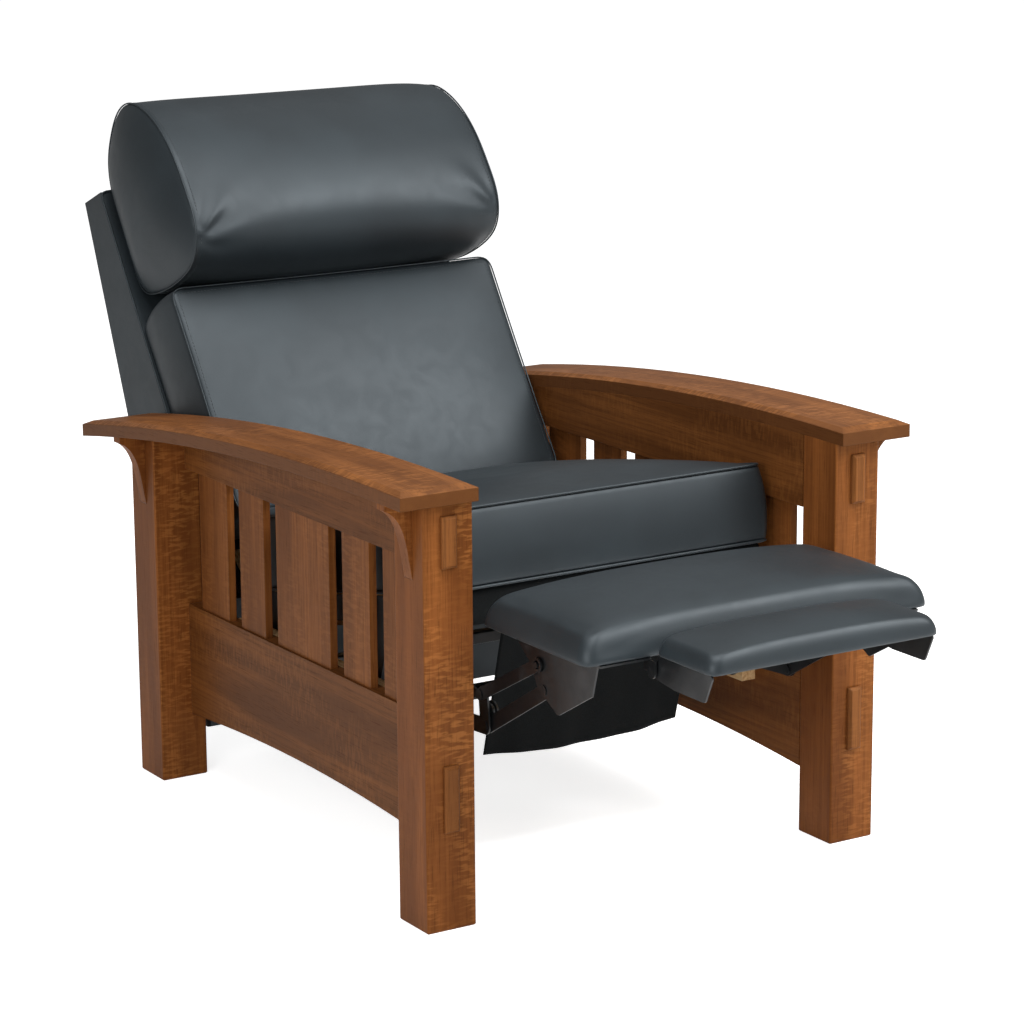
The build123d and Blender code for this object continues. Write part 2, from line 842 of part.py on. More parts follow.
# Cushions: a boxed band drawn in at its middle, with a crowned face above and a shallow one below

def outline(plane, width, depth, inset, corner):
    """A rounded outline, smaller all round by an inset."""
    with BuildSketch(plane) as profile:
        RectangleRounded(width - 2 * inset, depth - 2 * inset, corner)
    return profile.sketch


def boxed_cushion(plane_at, width, depth, boxing, crown, corner):
    """A box cushion on a plane function of height, its foot at height zero."""
    edge = cushion_edge_round
    levels = (
        (0, edge),
        (edge, 0),
        (boxing / 2, cushion_drawn_in),
        (boxing - edge, 0),
        (boxing, edge * cushion_welt_share),
    )
    band = [outline(plane_at(height), width, depth, inset, corner) for height, inset in levels]
    loft(band, ruled=True)
    reach = min(width, depth) / 2 - corner - edge
    crown_edge = edge * cushion_welt_share
    crown_rings = []
    for in_share, up_share in crown_shares:
        inset = crown_edge + reach * in_share
        rounder = (min(width, depth) / 2 - inset - corner) * in_share * crown_round_share
        plane = plane_at(boxing + crown * up_share)
        crown_rings.append(outline(plane, width, depth, inset, corner + rounder))
    loft(crown_rings, ruled=True)


def seat_cushion_plane(height):
    return seat_plane(seat_cushion_depth / 2, soft_clearance + height)


with BuildPart() as seat_cushion:
    boxed_cushion(
        seat_cushion_plane, seat_cushion_width, seat_cushion_depth, seat_cushion_boxing,
        seat_cushion_crown, cushion_corner,
    )
finish(seat_cushion, "seat_cushion")


# Dust flap: black cloth hanging from the front rail, its lower edge sagging between the corners

flap_top = seat_point(side_rail_start - flap_thickness, -seat_rail_height - soft_clearance)
flap_foot = place(flap_bottom_back, flap_bottom_up)
flap_length = hypot(flap_foot[0] - flap_top[0], flap_foot[1] - flap_top[1])
flap_down = (0, (flap_foot[0] - flap_top[0]) / flap_length, (flap_foot[1] - flap_top[1]) / flap_length)
flap_plane = Plane(origin=(0, *flap_top), x_dir=(1, 0, 0), z_dir=(0, flap_down[2], -flap_down[1]))
with BuildPart() as front_dust_flap:
    with BuildSketch(flap_plane):
        with BuildLine():
            Polyline(
                (-flap_width / 2, -flap_length),
                (-flap_width / 2, 0),
                (flap_width / 2, 0),
                (flap_width / 2, -flap_length),
            )
            ThreePointArc(
                (flap_width / 2, -flap_length),
                (0, -flap_length - flap_sag),
                (-flap_width / 2, -flap_length),
            )
        make_face()
    extrude(amount=flap_thickness)
finish(front_dust_flap, "front_dust_flap")


# Seat plates: a strip bolted to each side rail, with lobes for the pivots

def strip_circle(back):
    """A circle on the middle line of the strip along the seat rail."""
    return (seat_point(back, -seat_rail_height / 2), seat_rail_height / 2 - plate_strip_margin)


def make_seat_plate(side):
    near = seat_plate_inner
    strip_front = side_rail_start + lobe_radius
    strip_rear = seat_box_depth - lobe_radius
    second_root = seat_plate_root_back + seat_plate_root_spacing
    with BuildPart() as plate:
        hull_plate((strip_circle(strip_front), strip_circle(strip_rear)), near, side)
        for point, roots in (
            (drive_pivot, (strip_front, seat_plate_root_back)),
            (guide_pivot, (seat_plate_root_back, second_root)),
            (seat_guide, (second_root, second_root + seat_plate_root_spacing)),
            (rear_pivot, (strip_rear - 2 * lobe_radius, strip_rear)),
            (back_pivot, (strip_rear - lobe_radius, strip_rear)),
        ):
            circles = [(point, lobe_radius)] + [strip_circle(back) for back in roots]
            hull_plate(circles, near, side)
        for point in (guide_pivot, seat_guide, back_pivot):
            bore(point, rivet_radius, near, side)
        bore(drive_pivot, torque_rod_radius + running_clearance, near, side)
        bore(rear_pivot, rivet_radius + running_clearance, near, side)
        for back in seat_bolt_places:
            bore(seat_point(side_rail_start + back, -seat_rail_height / 2), seat_bolt_radius, near, side)
    return plate


for side_name, side in SIDES.items():
    finish(make_seat_plate(side), f"{side_name}_seat_plate")

with BuildPart() as seat_bolts:
    for side in SIDES.values():
        for back in seat_bolt_places:
            point = seat_point(side_rail_start + back, -seat_rail_height / 2)
            pin(point, seat_bolt_radius, seat_rail_outer - seat_bolt_depth, plate_outer, side)
            hex_head(point, seat_bolt_head_radius, plate_outer, rivet_head_height, side)
        bracket_outer = outer_layer + plate_thickness + running_clearance
        link_outer = third_layer + plate_thickness + running_clearance
        rivet(guide_pivot, third_layer, plate_outer, side, (link_outer, seat_plate_inner))
        rivet(back_pivot, outer_layer, plate_outer, side, (bracket_outer, seat_plate_inner))
        rivet(
            seat_guide, seat_plate_inner, cleat_inner - running_clearance, side,
            (plate_outer, base_plate_inner - running_clearance), outer_head=False,
        )
finish(seat_bolts, "seat_bolts")


# Footrest links, in layers inside the seat plates

def make_drive_link(side):
    half = drive_link_width / 2
    with BuildPart() as link:
        hull_plate(((drive_pivot, half), (knee_pivot, half)), first_layer, side)
        hull_plate(((knee_pivot, half), (control_knee, half)), first_layer, side)
        hull_plate(((drive_pivot, drive_boss_radius),), first_layer, side)
        bore(drive_pivot, torque_rod_radius, first_layer, side)
        outer = first_layer + plate_thickness
        carry_outer = second_layer + plate_thickness + running_clearance
        control_outer = outer_layer + plate_thickness
        rivet(knee_pivot, second_layer, outer, side, (carry_outer, first_layer))
        rivet(control_knee, first_layer, control_outer, side, (outer, outer_layer - running_clearance))
    return link


def make_carry_link(side):
    half = carry_link_width / 2
    with BuildPart() as link:
        hull_plate(((knee_pivot, half), (pad_pivot, half)), second_layer, side)
        hull_plate(((knee_pivot, half), (guide_knee, half)), second_layer, side)
        bore(knee_pivot, rivet_radius + running_clearance, second_layer, side)
        link_outer = second_layer + plate_thickness
        bracket_outer = first_layer + plate_thickness + running_clearance
        rivet(pad_pivot, second_layer, bracket_outer, side, (link_outer, first_layer - running_clearance))
        pin(guide_knee, open_pin_radius, third_layer - rivet_head_height, second_layer, side)
    return link


with BuildPart() as torque_rod:
    half_length = plate_outer + torque_rod_end
    pin(drive_pivot, torque_rod_radius, -half_length, half_length, 1)
    for side in SIDES.values():
        link_outer = first_layer + plate_thickness
        collar(drive_pivot, link_outer, seat_plate_inner - running_clearance, side, torque_rod_collar)
        collar(drive_pivot, plate_outer + running_clearance, half_length, side, torque_rod_collar)
finish(torque_rod, "torque_rod")

for side_name, side in SIDES.items():
    finish(make_drive_link(side), f"{side_name}_drive_link")
    finish(make_carry_link(side), f"{side_name}_carry_link")

with BuildPart() as guide_links:
    for side in SIDES.values():
        half = guide_link_width / 2
        hull_plate(((guide_pivot, half), (guide_elbow, half)), third_layer, side)
        hull_plate(((guide_elbow, half), (guide_knee, half)), third_layer, side)
        hull_plate(((guide_knee, guide_eye_radius),), third_layer, side)
        bore(guide_pivot, rivet_radius + running_clearance, third_layer, side)
        bore(guide_knee, guide_eye_hole, third_layer, side)
finish(guide_links, "guide_links")

with BuildPart() as control_links:
    for side in SIDES.values():
        half = control_link_width / 2
        hull_plate(((control_knee, half), (control_pivot, half)), outer_layer, side)
        hull_plate(((control_pivot, control_eye_radius),), outer_layer, side)
        bore(control_knee, rivet_radius + running_clearance, outer_layer, side)
        bore(control_pivot, control_eye_hole, outer_layer, side)
finish(control_links, "control_links")


# Footrest: a padded board on two angle brackets, with ears for the extension

def make_footrest_bracket(side):
    near = first_layer
    with BuildPart() as bracket:
        top_line = footrest_bottom
        with BuildSketch(side_plane(near, near + plate_thickness, side)):
            with BuildLine():
                Polyline(
                    place(bracket_front, top_line),
                    place(bracket_rear, top_line),
                    place(control_pivot_back + 2 * lobe_radius, control_pivot_up),
                    place(pad_pivot_back + lobe_radius, pad_pivot_up),
                    place(bracket_drop_back, bracket_drop_up),
                    place(bracket_front + lobe_radius, (top_line + bracket_drop_up) / 2),
                    close=True,
                )
            make_face()
        extrude(amount=plate_thickness)
        fillet(bracket.edges().filter_by(Axis.X).group_by(Axis.Z)[0], lobe_radius / 2)
        flange_middle = side * (near + plate_thickness - bracket_flange / 2)
        flange_y = front + (bracket_front + bracket_rear) / 2
        with BuildSketch(Plane(origin=(flange_middle, flange_y, footrest_bottom - plate_thickness))):
            Rectangle(bracket_flange, bracket_rear - bracket_front)
        extrude(amount=plate_thickness)
        bore(pad_pivot, rivet_radius + running_clearance, near, side)
        pin_end = outer_layer + plate_thickness + rivet_head_height
        pin(control_pivot, open_pin_radius, near + plate_thickness, pin_end, side)
        ear_near = extension_arm_outer + layer_gap
        with BuildSketch(side_plane(ear_near, ear_near + plate_thickness, side)):
            with Locations(extension_pivot):
                Circle(ear_radius)
            ear_top = footrest_bottom - plate_thickness
            ear_mid = (extension_pivot[1] + ear_top) / 2
            with Locations((extension_pivot[0] + ear_radius / 2, ear_mid)):
                Rectangle(ear_root_width, ear_top - extension_pivot[1])
        extrude(amount=plate_thickness)
        tie_front = extension_pivot[0] + 2 * ear_radius
        with BuildSketch(Plane(origin=(side * (ear_near + near + plate_thickness) / 2, tie_front, ear_top))):
            Rectangle(near + plate_thickness - ear_near, ear_root_width)
        extrude(amount=plate_thickness)
        pin(extension_pivot, rivet_radius, extension_arm_outer - plate_thickness, ear_near, side)
    return bracket


for side_name, side in SIDES.items():
    finish(make_footrest_bracket(side), f"{side_name}_footrest_bracket")


def level_plane(front_place, rear_place, up):
    """A level plane over the middle of a pad."""
    return Plane(origin=(0, front + (front_place + rear_place) / 2, up))


def padded_board(front_place, rear_place, bottom, width, height, edge, corner):
    """A crowned pad with rounded edges, wrapped round the board let into its underside."""
    depth = rear_place - front_place
    reach = depth / 2 - corner - edge
    rings = []
    for up_share, edge_share, crown_share in pad_shares:
        plane = level_plane(front_place, rear_place, bottom + height * up_share)
        rings.append(outline(plane, width, depth, edge * edge_share + reach * crown_share, corner))
    loft(rings, ruled=True)
    plane = level_plane(front_place, rear_place, bottom)
    recess = outline(plane, width, depth, board_margin, corner * board_corner_share + soft_clearance)
    extrude(recess, amount=board_thickness + soft_clearance, mode=Mode.SUBTRACT)


def make_board(front_place, rear_place, bottom, width, corner):
    """The board under a pad, its corners rounded inside the pad's own."""
    plane = level_plane(front_place, rear_place, bottom)
    inset = board_margin + soft_clearance
    with BuildPart() as board:
        shape = outline(plane, width, rear_place - front_place, inset, corner * board_corner_share)
        extrude(shape, amount=board_thickness)
    return board


finish(
    make_board(footrest_front, footrest_rear, footrest_bottom, footrest_width, footrest_corner),
    "footrest_board",
)
with BuildPart() as footrest_pad:
    padded_board(
        footrest_front, footrest_rear, footrest_bottom, footrest_width, footrest_height,
        footrest_edge, footrest_corner,
    )
finish(footrest_pad, "footrest_pad")

finish(
    make_board(extension_front, extension_rear, extension_bottom, extension_width, extension_corner),
    "extension_board",
)
with BuildPart() as extension_pad:
    padded_board(
        extension_front, extension_rear, extension_bottom, extension_width, extension_height,
        extension_edge, extension_corner,
    )
finish(extension_pad, "extension_pad")

with BuildPart() as extension_arms:
    for side in SIDES.values():
        near = extension_arm_outer - plate_thickness
        with BuildSketch(side_plane(near, extension_arm_outer, side)):
            for back, up, radius in (
                (extension_pivot_back, extension_pivot_up, ear_radius),
                (extension_arm_tip_rear, extension_arm_tip_up, extension_arm_round),
                (extension_arm_tip_front, extension_arm_tip_up, extension_arm_round),
                (extension_front + board_margin, extension_bottom - extension_arm_round, extension_arm_round),
                (extension_rear - board_margin, extension_bottom - extension_arm_round, extension_arm_round),
            ):
                with Locations(place(back, up)):
                    Circle(radius)
            make_hull()
        extrude(amount=plate_thickness)
        flange_middle = side * (extension_arm_outer - extension_arm_flange / 2)
        flange_y = front + (extension_front + extension_rear) / 2
        with BuildSketch(Plane(origin=(flange_middle, flange_y, extension_bottom - plate_thickness))):
            Rectangle(extension_arm_flange, extension_rear - extension_front - 2 * board_margin)
        extrude(amount=plate_thickness)
        bore(extension_pivot, rivet_radius + running_clearance, near, side)
finish(extension_arms, "extension_arms")


# Back: an upholstered shell round a wooden frame, thicker toward its foot

back_outline = (
    (0, 0),
    (-back_top_thickness, back_top_rise),
    (-back_heel_depth, -back_heel_drop),
    (-back_toe_depth, -back_toe_drop),
    (0, -back_front_drop),
)
with BuildPart() as back_cover:
    with BuildSketch(back_side_plane(back_cover_width / 2)):
        with BuildLine():
            Polyline(*back_outline, close=True)
        make_face()
    extrude(amount=back_cover_width)
    rounds = back_cover.edges().filter_by(Axis.X).sort_by(Axis.Z)[-2:]
    fillet(rounds, back_cover_round)
    inner_half = back_cover_width / 2 - back_cover_wall
    with BuildSketch(back_side_plane(inner_half)):
        with BuildLine():
            Polyline(*back_outline, close=True)
        make_face()
        offset(amount=-back_cover_wall, kind=Kind.INTERSECTION)
        mouth_head = -back_cover_wall
        mouth_foot = -back_front_drop - 2 * back_cover_wall
        with Locations((0, (mouth_head + mouth_foot) / 2)):
            Rectangle(4 * back_cover_wall, mouth_head - mouth_foot)
    extrude(amount=2 * inner_half, mode=Mode.SUBTRACT)
finish(back_cover, "back_cover")


def back_bolt_points():
    """Where the bolts of the back brackets enter the stiles, in the side view."""
    middle = -back_stile_depth / 2
    return (back_point(middle, back_stile_bottom - 2 * lobe_radius), back_point(middle, back_bracket_reach))


with BuildPart() as back_stiles:
    for side in SIDES.values():
        stile_middle = side * (outer_layer - back_stile_width / 2)
        length = back_stile_bottom - back_stile_top
        with BuildSketch(back_plane(-back_stile_depth)):
            with Locations((stile_middle, -back_stile_top - length / 2)):
                Rectangle(back_stile_width, length)
        extrude(amount=back_stile_depth)
    for side in SIDES.values():
        for point in back_bolt_points():
            with BuildSketch(side_plane(outer_layer - back_bolt_depth, outer_layer, side)):
                with Locations(point):
                    Circle(back_bolt_radius)
            extrude(amount=back_bolt_depth, mode=Mode.SUBTRACT)
finish(back_stiles, "back_stiles")

with BuildPart() as back_cross_rails:
    between = 2 * (outer_layer - back_stile_width)
    for drop in back_cross_rail_drops:
        with BuildSketch(back_plane(-back_cross_rail_depth)):
            with Locations((0, -drop)):
                Rectangle(between, back_cross_rail_height)
        extrude(amount=back_cross_rail_depth)
finish(back_cross_rails, "back_cross_rails")

with BuildPart() as back_springs:
    spring_foot = -back_cross_rail_drops[2] + back_cross_rail_height / 2
    spring_head = -back_cross_rail_drops[0] - back_cross_rail_height / 2
    base = back_plane(-spring_drop)
    foot_plane = Plane(
        origin=base.from_local_coords((0, spring_foot, 0)), x_dir=(1, 0, 0), z_dir=base.z_dir
    )
    lanes = spring_lanes(back_spring_count, between, back_spring_share)
    zigzag(spring_head - spring_foot, lanes, spring_pitch, spring_swing, foot_plane, spring_wire)
    middle_rail = -back_cross_rail_drops[1]
    with BuildSketch(back_plane(-spring_drop)):
        with Locations((0, middle_rail)):
            Rectangle(back_cover_width, back_cross_rail_height)
    extrude(amount=spring_wire, mode=Mode.SUBTRACT)
finish(back_springs, "back_springs")


def make_back_bracket(side):
    with BuildPart() as bracket:
        circles = [(back_pivot, lobe_radius)] + [(point, lobe_radius) for point in back_bolt_points()]
        hull_plate(circles, outer_layer, side)
        bore(back_pivot, rivet_radius + running_clearance, outer_layer, side)
        for point in back_bolt_points():
            bore(point, back_bolt_radius, outer_layer, side)
    return bracket


for side_name, side in SIDES.items():
    finish(make_back_bracket(side), f"{side_name}_back_bracket")

with BuildPart() as back_bolts:
    for side in SIDES.values():
        for point in back_bolt_points():
            outer = outer_layer + plate_thickness
            pin(point, back_bolt_radius, outer_layer - back_bolt_depth, outer, side)
            hex_head(point, 2 * back_bolt_radius, outer, rivet_head_height, side)
finish(back_bolts, "back_bolts")


def back_cushion_plane(height):
    """A plane over the middle of the lower back cushion."""
    base = back_plane(soft_clearance + height)
    middle = -(back_cushion_top + back_cushion_bottom) / 2
    return Plane(origin=base.from_local_coords((0, middle, 0)), x_dir=(1, 0, 0), z_dir=base.z_dir)


with BuildPart() as lower_back_cushion:
    boxed_cushion(
        back_cushion_plane, back_cushion_width, back_cushion_bottom - back_cushion_top,
        back_cushion_boxing, back_cushion_crown, cushion_corner,
    )
finish(lower_back_cushion, "lower_back_cushion")


# Headrest pillow: a deep bolster, flat behind, fullest at its nose and rounded over the top

def pillow_section(x, share):
    """The pillow's section at x, grown or shrunk about its middle by a share."""
    middle = ((soft_clearance + pillow_nose) / 2, (pillow_crown - pillow_foot) / 2)
    depth = pillow_nose - soft_clearance
    height = pillow_crown + pillow_foot

    def at(shares):
        return (
            middle[0] + (shares[0] - centre_share) * depth * share,
            middle[1] + (shares[1] - centre_share) * height * share,
        )

    with BuildSketch(back_side_plane(x)) as profile:
        with BuildLine():
            for arc_shares in pillow_arc_shares:
                ThreePointArc(*[at(shares) for shares in arc_shares])
            Line(at(pillow_arc_shares[-1][-1]), at(pillow_arc_shares[0][0]))
        make_face()
    return profile.sketch


with BuildPart() as headrest_pillow:
    sections = []
    for width_share, section_share in pillow_station_shares:
        sections.append(pillow_section(width_share * pillow_width / 2, section_share))
    loft(sections, ruled=True)
finish(headrest_pillow, "headrest_pillow")
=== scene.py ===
import math
import bpy
import numpy as np
from mathutils import Matrix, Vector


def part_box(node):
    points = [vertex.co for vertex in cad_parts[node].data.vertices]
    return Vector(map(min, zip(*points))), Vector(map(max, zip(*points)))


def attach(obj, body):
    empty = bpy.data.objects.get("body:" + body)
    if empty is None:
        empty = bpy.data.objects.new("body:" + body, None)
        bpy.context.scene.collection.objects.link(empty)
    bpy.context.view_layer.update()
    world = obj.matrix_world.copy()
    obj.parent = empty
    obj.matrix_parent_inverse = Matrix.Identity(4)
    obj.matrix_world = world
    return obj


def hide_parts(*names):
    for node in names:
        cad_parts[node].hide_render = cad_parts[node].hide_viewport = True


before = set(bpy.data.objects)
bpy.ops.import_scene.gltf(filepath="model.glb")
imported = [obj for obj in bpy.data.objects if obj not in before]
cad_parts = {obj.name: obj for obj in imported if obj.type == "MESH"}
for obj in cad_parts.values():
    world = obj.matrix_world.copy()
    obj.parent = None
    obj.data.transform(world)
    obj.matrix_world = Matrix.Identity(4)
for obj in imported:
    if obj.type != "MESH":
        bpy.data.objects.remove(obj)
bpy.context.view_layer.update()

bl_info = {
    "name": "Mission reclining armchair",
    "version": (1, 0, 0),
    "blender": (4, 5, 0),
    "location": "View3D > Sidebar > Armchair",
    "description": "Finishes, cushions and studio of a slatted oak reclining armchair",
    "category": "Object",
}

# Millimetres to metres
MM = 0.001

# The chair is built back from the front faces of its front posts
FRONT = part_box("front_left_post")[0].y / MM

# The seat and the back: how far each leans, and the edge it starts from, back from the posts and up
SEAT_PITCH = math.radians(11.5)
SEAT_EDGE = (132.0, 452.0)
BACK_LEAN = math.radians(34.0)
BACK_EDGE = (1191.92, 906.0)

# How far a cushion stands off what it lies on
SOFT_GAP = 0.3

# A share past this lies on an end face of a skin, whose shares run from -1 to 1
ON_END = 0.999


def local_place(origin, along, normal):
    """A turn and a shift that take (x across, y along, z outward) in millimetres to metres in the frame."""
    axes = np.array([(1.0, 0.0, 0.0), along, normal])
    return axes * MM, np.array(origin) * MM


def seat_place(back, up):
    """The seat's own directions, from a point a distance back along it and up from it."""
    along = (0.0, math.cos(SEAT_PITCH), -math.sin(SEAT_PITCH))
    normal = (0.0, math.sin(SEAT_PITCH), math.cos(SEAT_PITCH))
    y = FRONT + SEAT_EDGE[0] + back * along[1] + up * normal[1]
    z = SEAT_EDGE[1] + back * along[2] + up * normal[2]
    return local_place((0.0, y, z), along, normal)


def back_place(drop, forward):
    """The back's own directions, y up along it, from a point down from its top and in front of it."""
    along = (0.0, math.sin(BACK_LEAN), math.cos(BACK_LEAN))
    normal = (0.0, -math.cos(BACK_LEAN), math.sin(BACK_LEAN))
    y = FRONT + BACK_EDGE[0] - drop * along[1] + forward * normal[1]
    z = BACK_EDGE[1] - drop * along[2] + forward * normal[2]
    return local_place((0.0, y, z), along, normal)


def level_place(back, up):
    """The frame's own directions, from a point back from the posts and up from the floor."""
    return local_place((0.0, FRONT + back, up), (0.0, 1.0, 0.0), (0.0, 0.0, 1.0))


def put(points, place):
    """Points of a piece's own millimetres, placed in the frame."""
    axes, origin = place
    return points @ axes + origin


# Sizes and colours that a user would change

def size(name, text, default, low, high):
    """A length, written here in millimetres."""
    return bpy.props.FloatProperty(name=name, description=text, default=default * MM, min=low * MM,
                                   max=high * MM, precision=4, subtype="DISTANCE")


def factor(name, text, default):
    """A share from none to all."""
    return bpy.props.FloatProperty(name=name, description=text, default=default, min=0.0, max=1.0,
                                   subtype="FACTOR")


def amount(name, text, default, most, subtype="NONE"):
    """An amount from nothing up, such as a lamp's power in watts."""
    return bpy.props.FloatProperty(name=name, description=text, default=default, min=0.0, max=most,
                                   subtype=subtype)


def linear(code):
    """Linear red, green, blue and alpha of an sRGB hex colour."""
    srgb = np.array([int(code[i:i + 2], 16) for i in (0, 2, 4)]) / 255.0
    low, high = srgb / 12.92, ((srgb + 0.055) / 1.055) ** 2.4
    return (*np.where(srgb <= 0.04045, low, high).tolist(), 1.0)


def colour(name, text, code):
    """A colour picker with an sRGB hex default."""
    return bpy.props.FloatVectorProperty(name=name, description=text, subtype="COLOR", size=4,
                                         min=0.0, max=1.0, default=linear(code))


class ArmchairWood(bpy.types.PropertyGroup):
    """The stained oak."""
    post: colour("Posts", "Stain of the posts and corbels", "7c4620")
    rail: colour("Rails", "Stain of the upper and lower rails", "673c1c")
    slat: colour("Slats", "Stain of the slats", "764420")
    arm: colour("Arms", "Stain of the bowed arms", "724626")
    tenon: colour("Tenon ends", "Stain of the proud tenon ends", "7d4c28")
    pore: colour("Pores", "Colour of the pores and the dark grain", "371c0a")
    ray: colour("Ray fleck", "Colour of the ray flecks", "a66a36")
    lacquer: colour("Lacquer", "Amber that the lacquer gives to reflections", "ffd9a8")
    ring_width: size("Ring width", "Width of a growth ring", 5.0, 1.0, 10.0)
    fleck_height: size("Fleck height", "Height of a ray fleck along the grain", 5.0, 2.0, 20.0)
    eased: size("Eased edges", "Radius that the sandpaper left on the edges", 1.5, 0.2, 5.0)


class ArmchairLeather(bpy.types.PropertyGroup):
    """The leather and its seams."""
    hide: colour("Leather", "Dye of the leather", "1b2023")
    worn: colour("Rubbed leather", "Colour of the leather where it is rubbed", "282f33")
    sheen: colour("Finish", "Cool tint that the finish gives to reflections", "edf8ff")
    thread: colour("Thread", "Colour of the sewing thread", "3a3f42")
    pebble: size("Pebble", "Width of a pebble of the leather's grain", 1.5, 0.5, 5.0)
    roughness: factor("Roughness", "Roughness of the leather", 0.46)
    welt: size("Welt", "Radius of the seat cushion's welts", 2.3, 1.0, 6.0)
    seam: size("Seam", "Radius of the ridge along the other seams", 1.3, 0.5, 4.0)
    stitch_pitch: size("Stitch pitch", "Distance from stitch to stitch", 6.0, 3.0, 12.0)
    stitch_length: size("Stitch length", "Length of a stitch", 4.2, 2.0, 10.0)
    stitch_radius: size("Thread radius", "Radius of the sewing thread", 0.5, 0.2, 1.5)


class ArmchairCushions(bpy.types.PropertyGroup):
    """The stuffed pieces."""
    pressure: amount("Pressure", "Air pressure that swells the cloth", 4.0, 20.0)
    swell: size("Swell", "Furthest a point of a cushion may swell", 9.0, 0.0, 30.0)
    cell: size("Cell", "Width of a mesh cell", 9.0, 4.0, 30.0)
    corner: size("Corner", "Radius of a boxed cushion's corners in plan", 16.0, 5.0, 80.0)


class ArmchairMetal(bpy.types.PropertyGroup):
    """The mechanism."""
    paint: colour("Enamel", "Black enamel of the plates and links", "0f1113")
    zinc: colour("Zinc", "Zinc plate of the bolts", "85888b")
    spring: colour("Spring steel", "Oiled steel of the zigzag springs", "5a5c5e")


class ArmchairStudio(bpy.types.PropertyGroup):
    """The floor, lamps and background."""
    floor: colour("Floor", "Colour of the paper floor", "fbfbfb")
    key: amount("Key lamp", "Power of the key lamp", 145.0, 2000.0, "POWER")
    front: amount("Front lamp", "Power of the front lamp", 10.0, 2000.0, "POWER")
    side: amount("Side lamp", "Power of the side lamp", 46.0, 2000.0, "POWER")
    top: amount("Top lamp", "Power of the top lamp", 98.0, 2000.0, "POWER")
    back: amount("Back lamp", "Power of the back lamp", 9.0, 2000.0, "POWER")
    sky: amount("Sky", "Strength of the world's light on the chair", 0.22, 5.0)
    glow: factor("Floor white", "Share of white that the floor adds of itself where it is seen", 0.8)
    mirrored: factor("Mirrored white", "Share of the white background that reflections show", 0.25)


GROUPS = {
    "armchair_wood": ArmchairWood,
    "armchair_leather": ArmchairLeather,
    "armchair_cushions": ArmchairCushions,
    "armchair_metal": ArmchairMetal,
    "armchair_studio": ArmchairStudio,
}


# Materials

# Settings of a map range that eases in and out, and of a mix of two colours
EASED = {"interpolation_type": "SMOOTHSTEP"}
COLOURS = {"data_type": "RGBA"}


def add(tree, kind, inputs=(), **settings):
    """A shader node of a kind with its settings. Each input is set to a value, or joined to a socket or to
    the first output that another node has in use."""
    node = tree.nodes.new("ShaderNode" + kind)
    for name, value in settings.items():
        setattr(node, name, value)
    for key, value in dict(inputs).items():
        if isinstance(value, bpy.types.Node):
            value = next(socket for socket in value.outputs if socket.enabled)
        if isinstance(value, bpy.types.NodeSocket):
            tree.links.new(value, node.inputs[key])
        else:
            node.inputs[key].default_value = value
    return node


def material(name):
    """A material without nodes, and its tree."""
    made = bpy.data.materials.new(name)
    made.use_nodes = True
    made.node_tree.nodes.clear()
    return made, made.node_tree


def surfaced(made, inputs):
    """A material with its shader and output, the shader's inputs set or joined."""
    add(made.node_tree, "OutputMaterial", {"Surface": add(made.node_tree, "BsdfPrincipled", inputs)})
    return made


def darkened(tint, part):
    """A part of a colour's light."""
    return (*(part * value for value in tint[:3]), 1.0)


def give(name, made):
    """A finish for every slot of a CAD node."""
    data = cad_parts[name].data
    if not data.materials:
        data.materials.append(made)
    for index in range(len(data.materials)):
        data.materials[index] = made


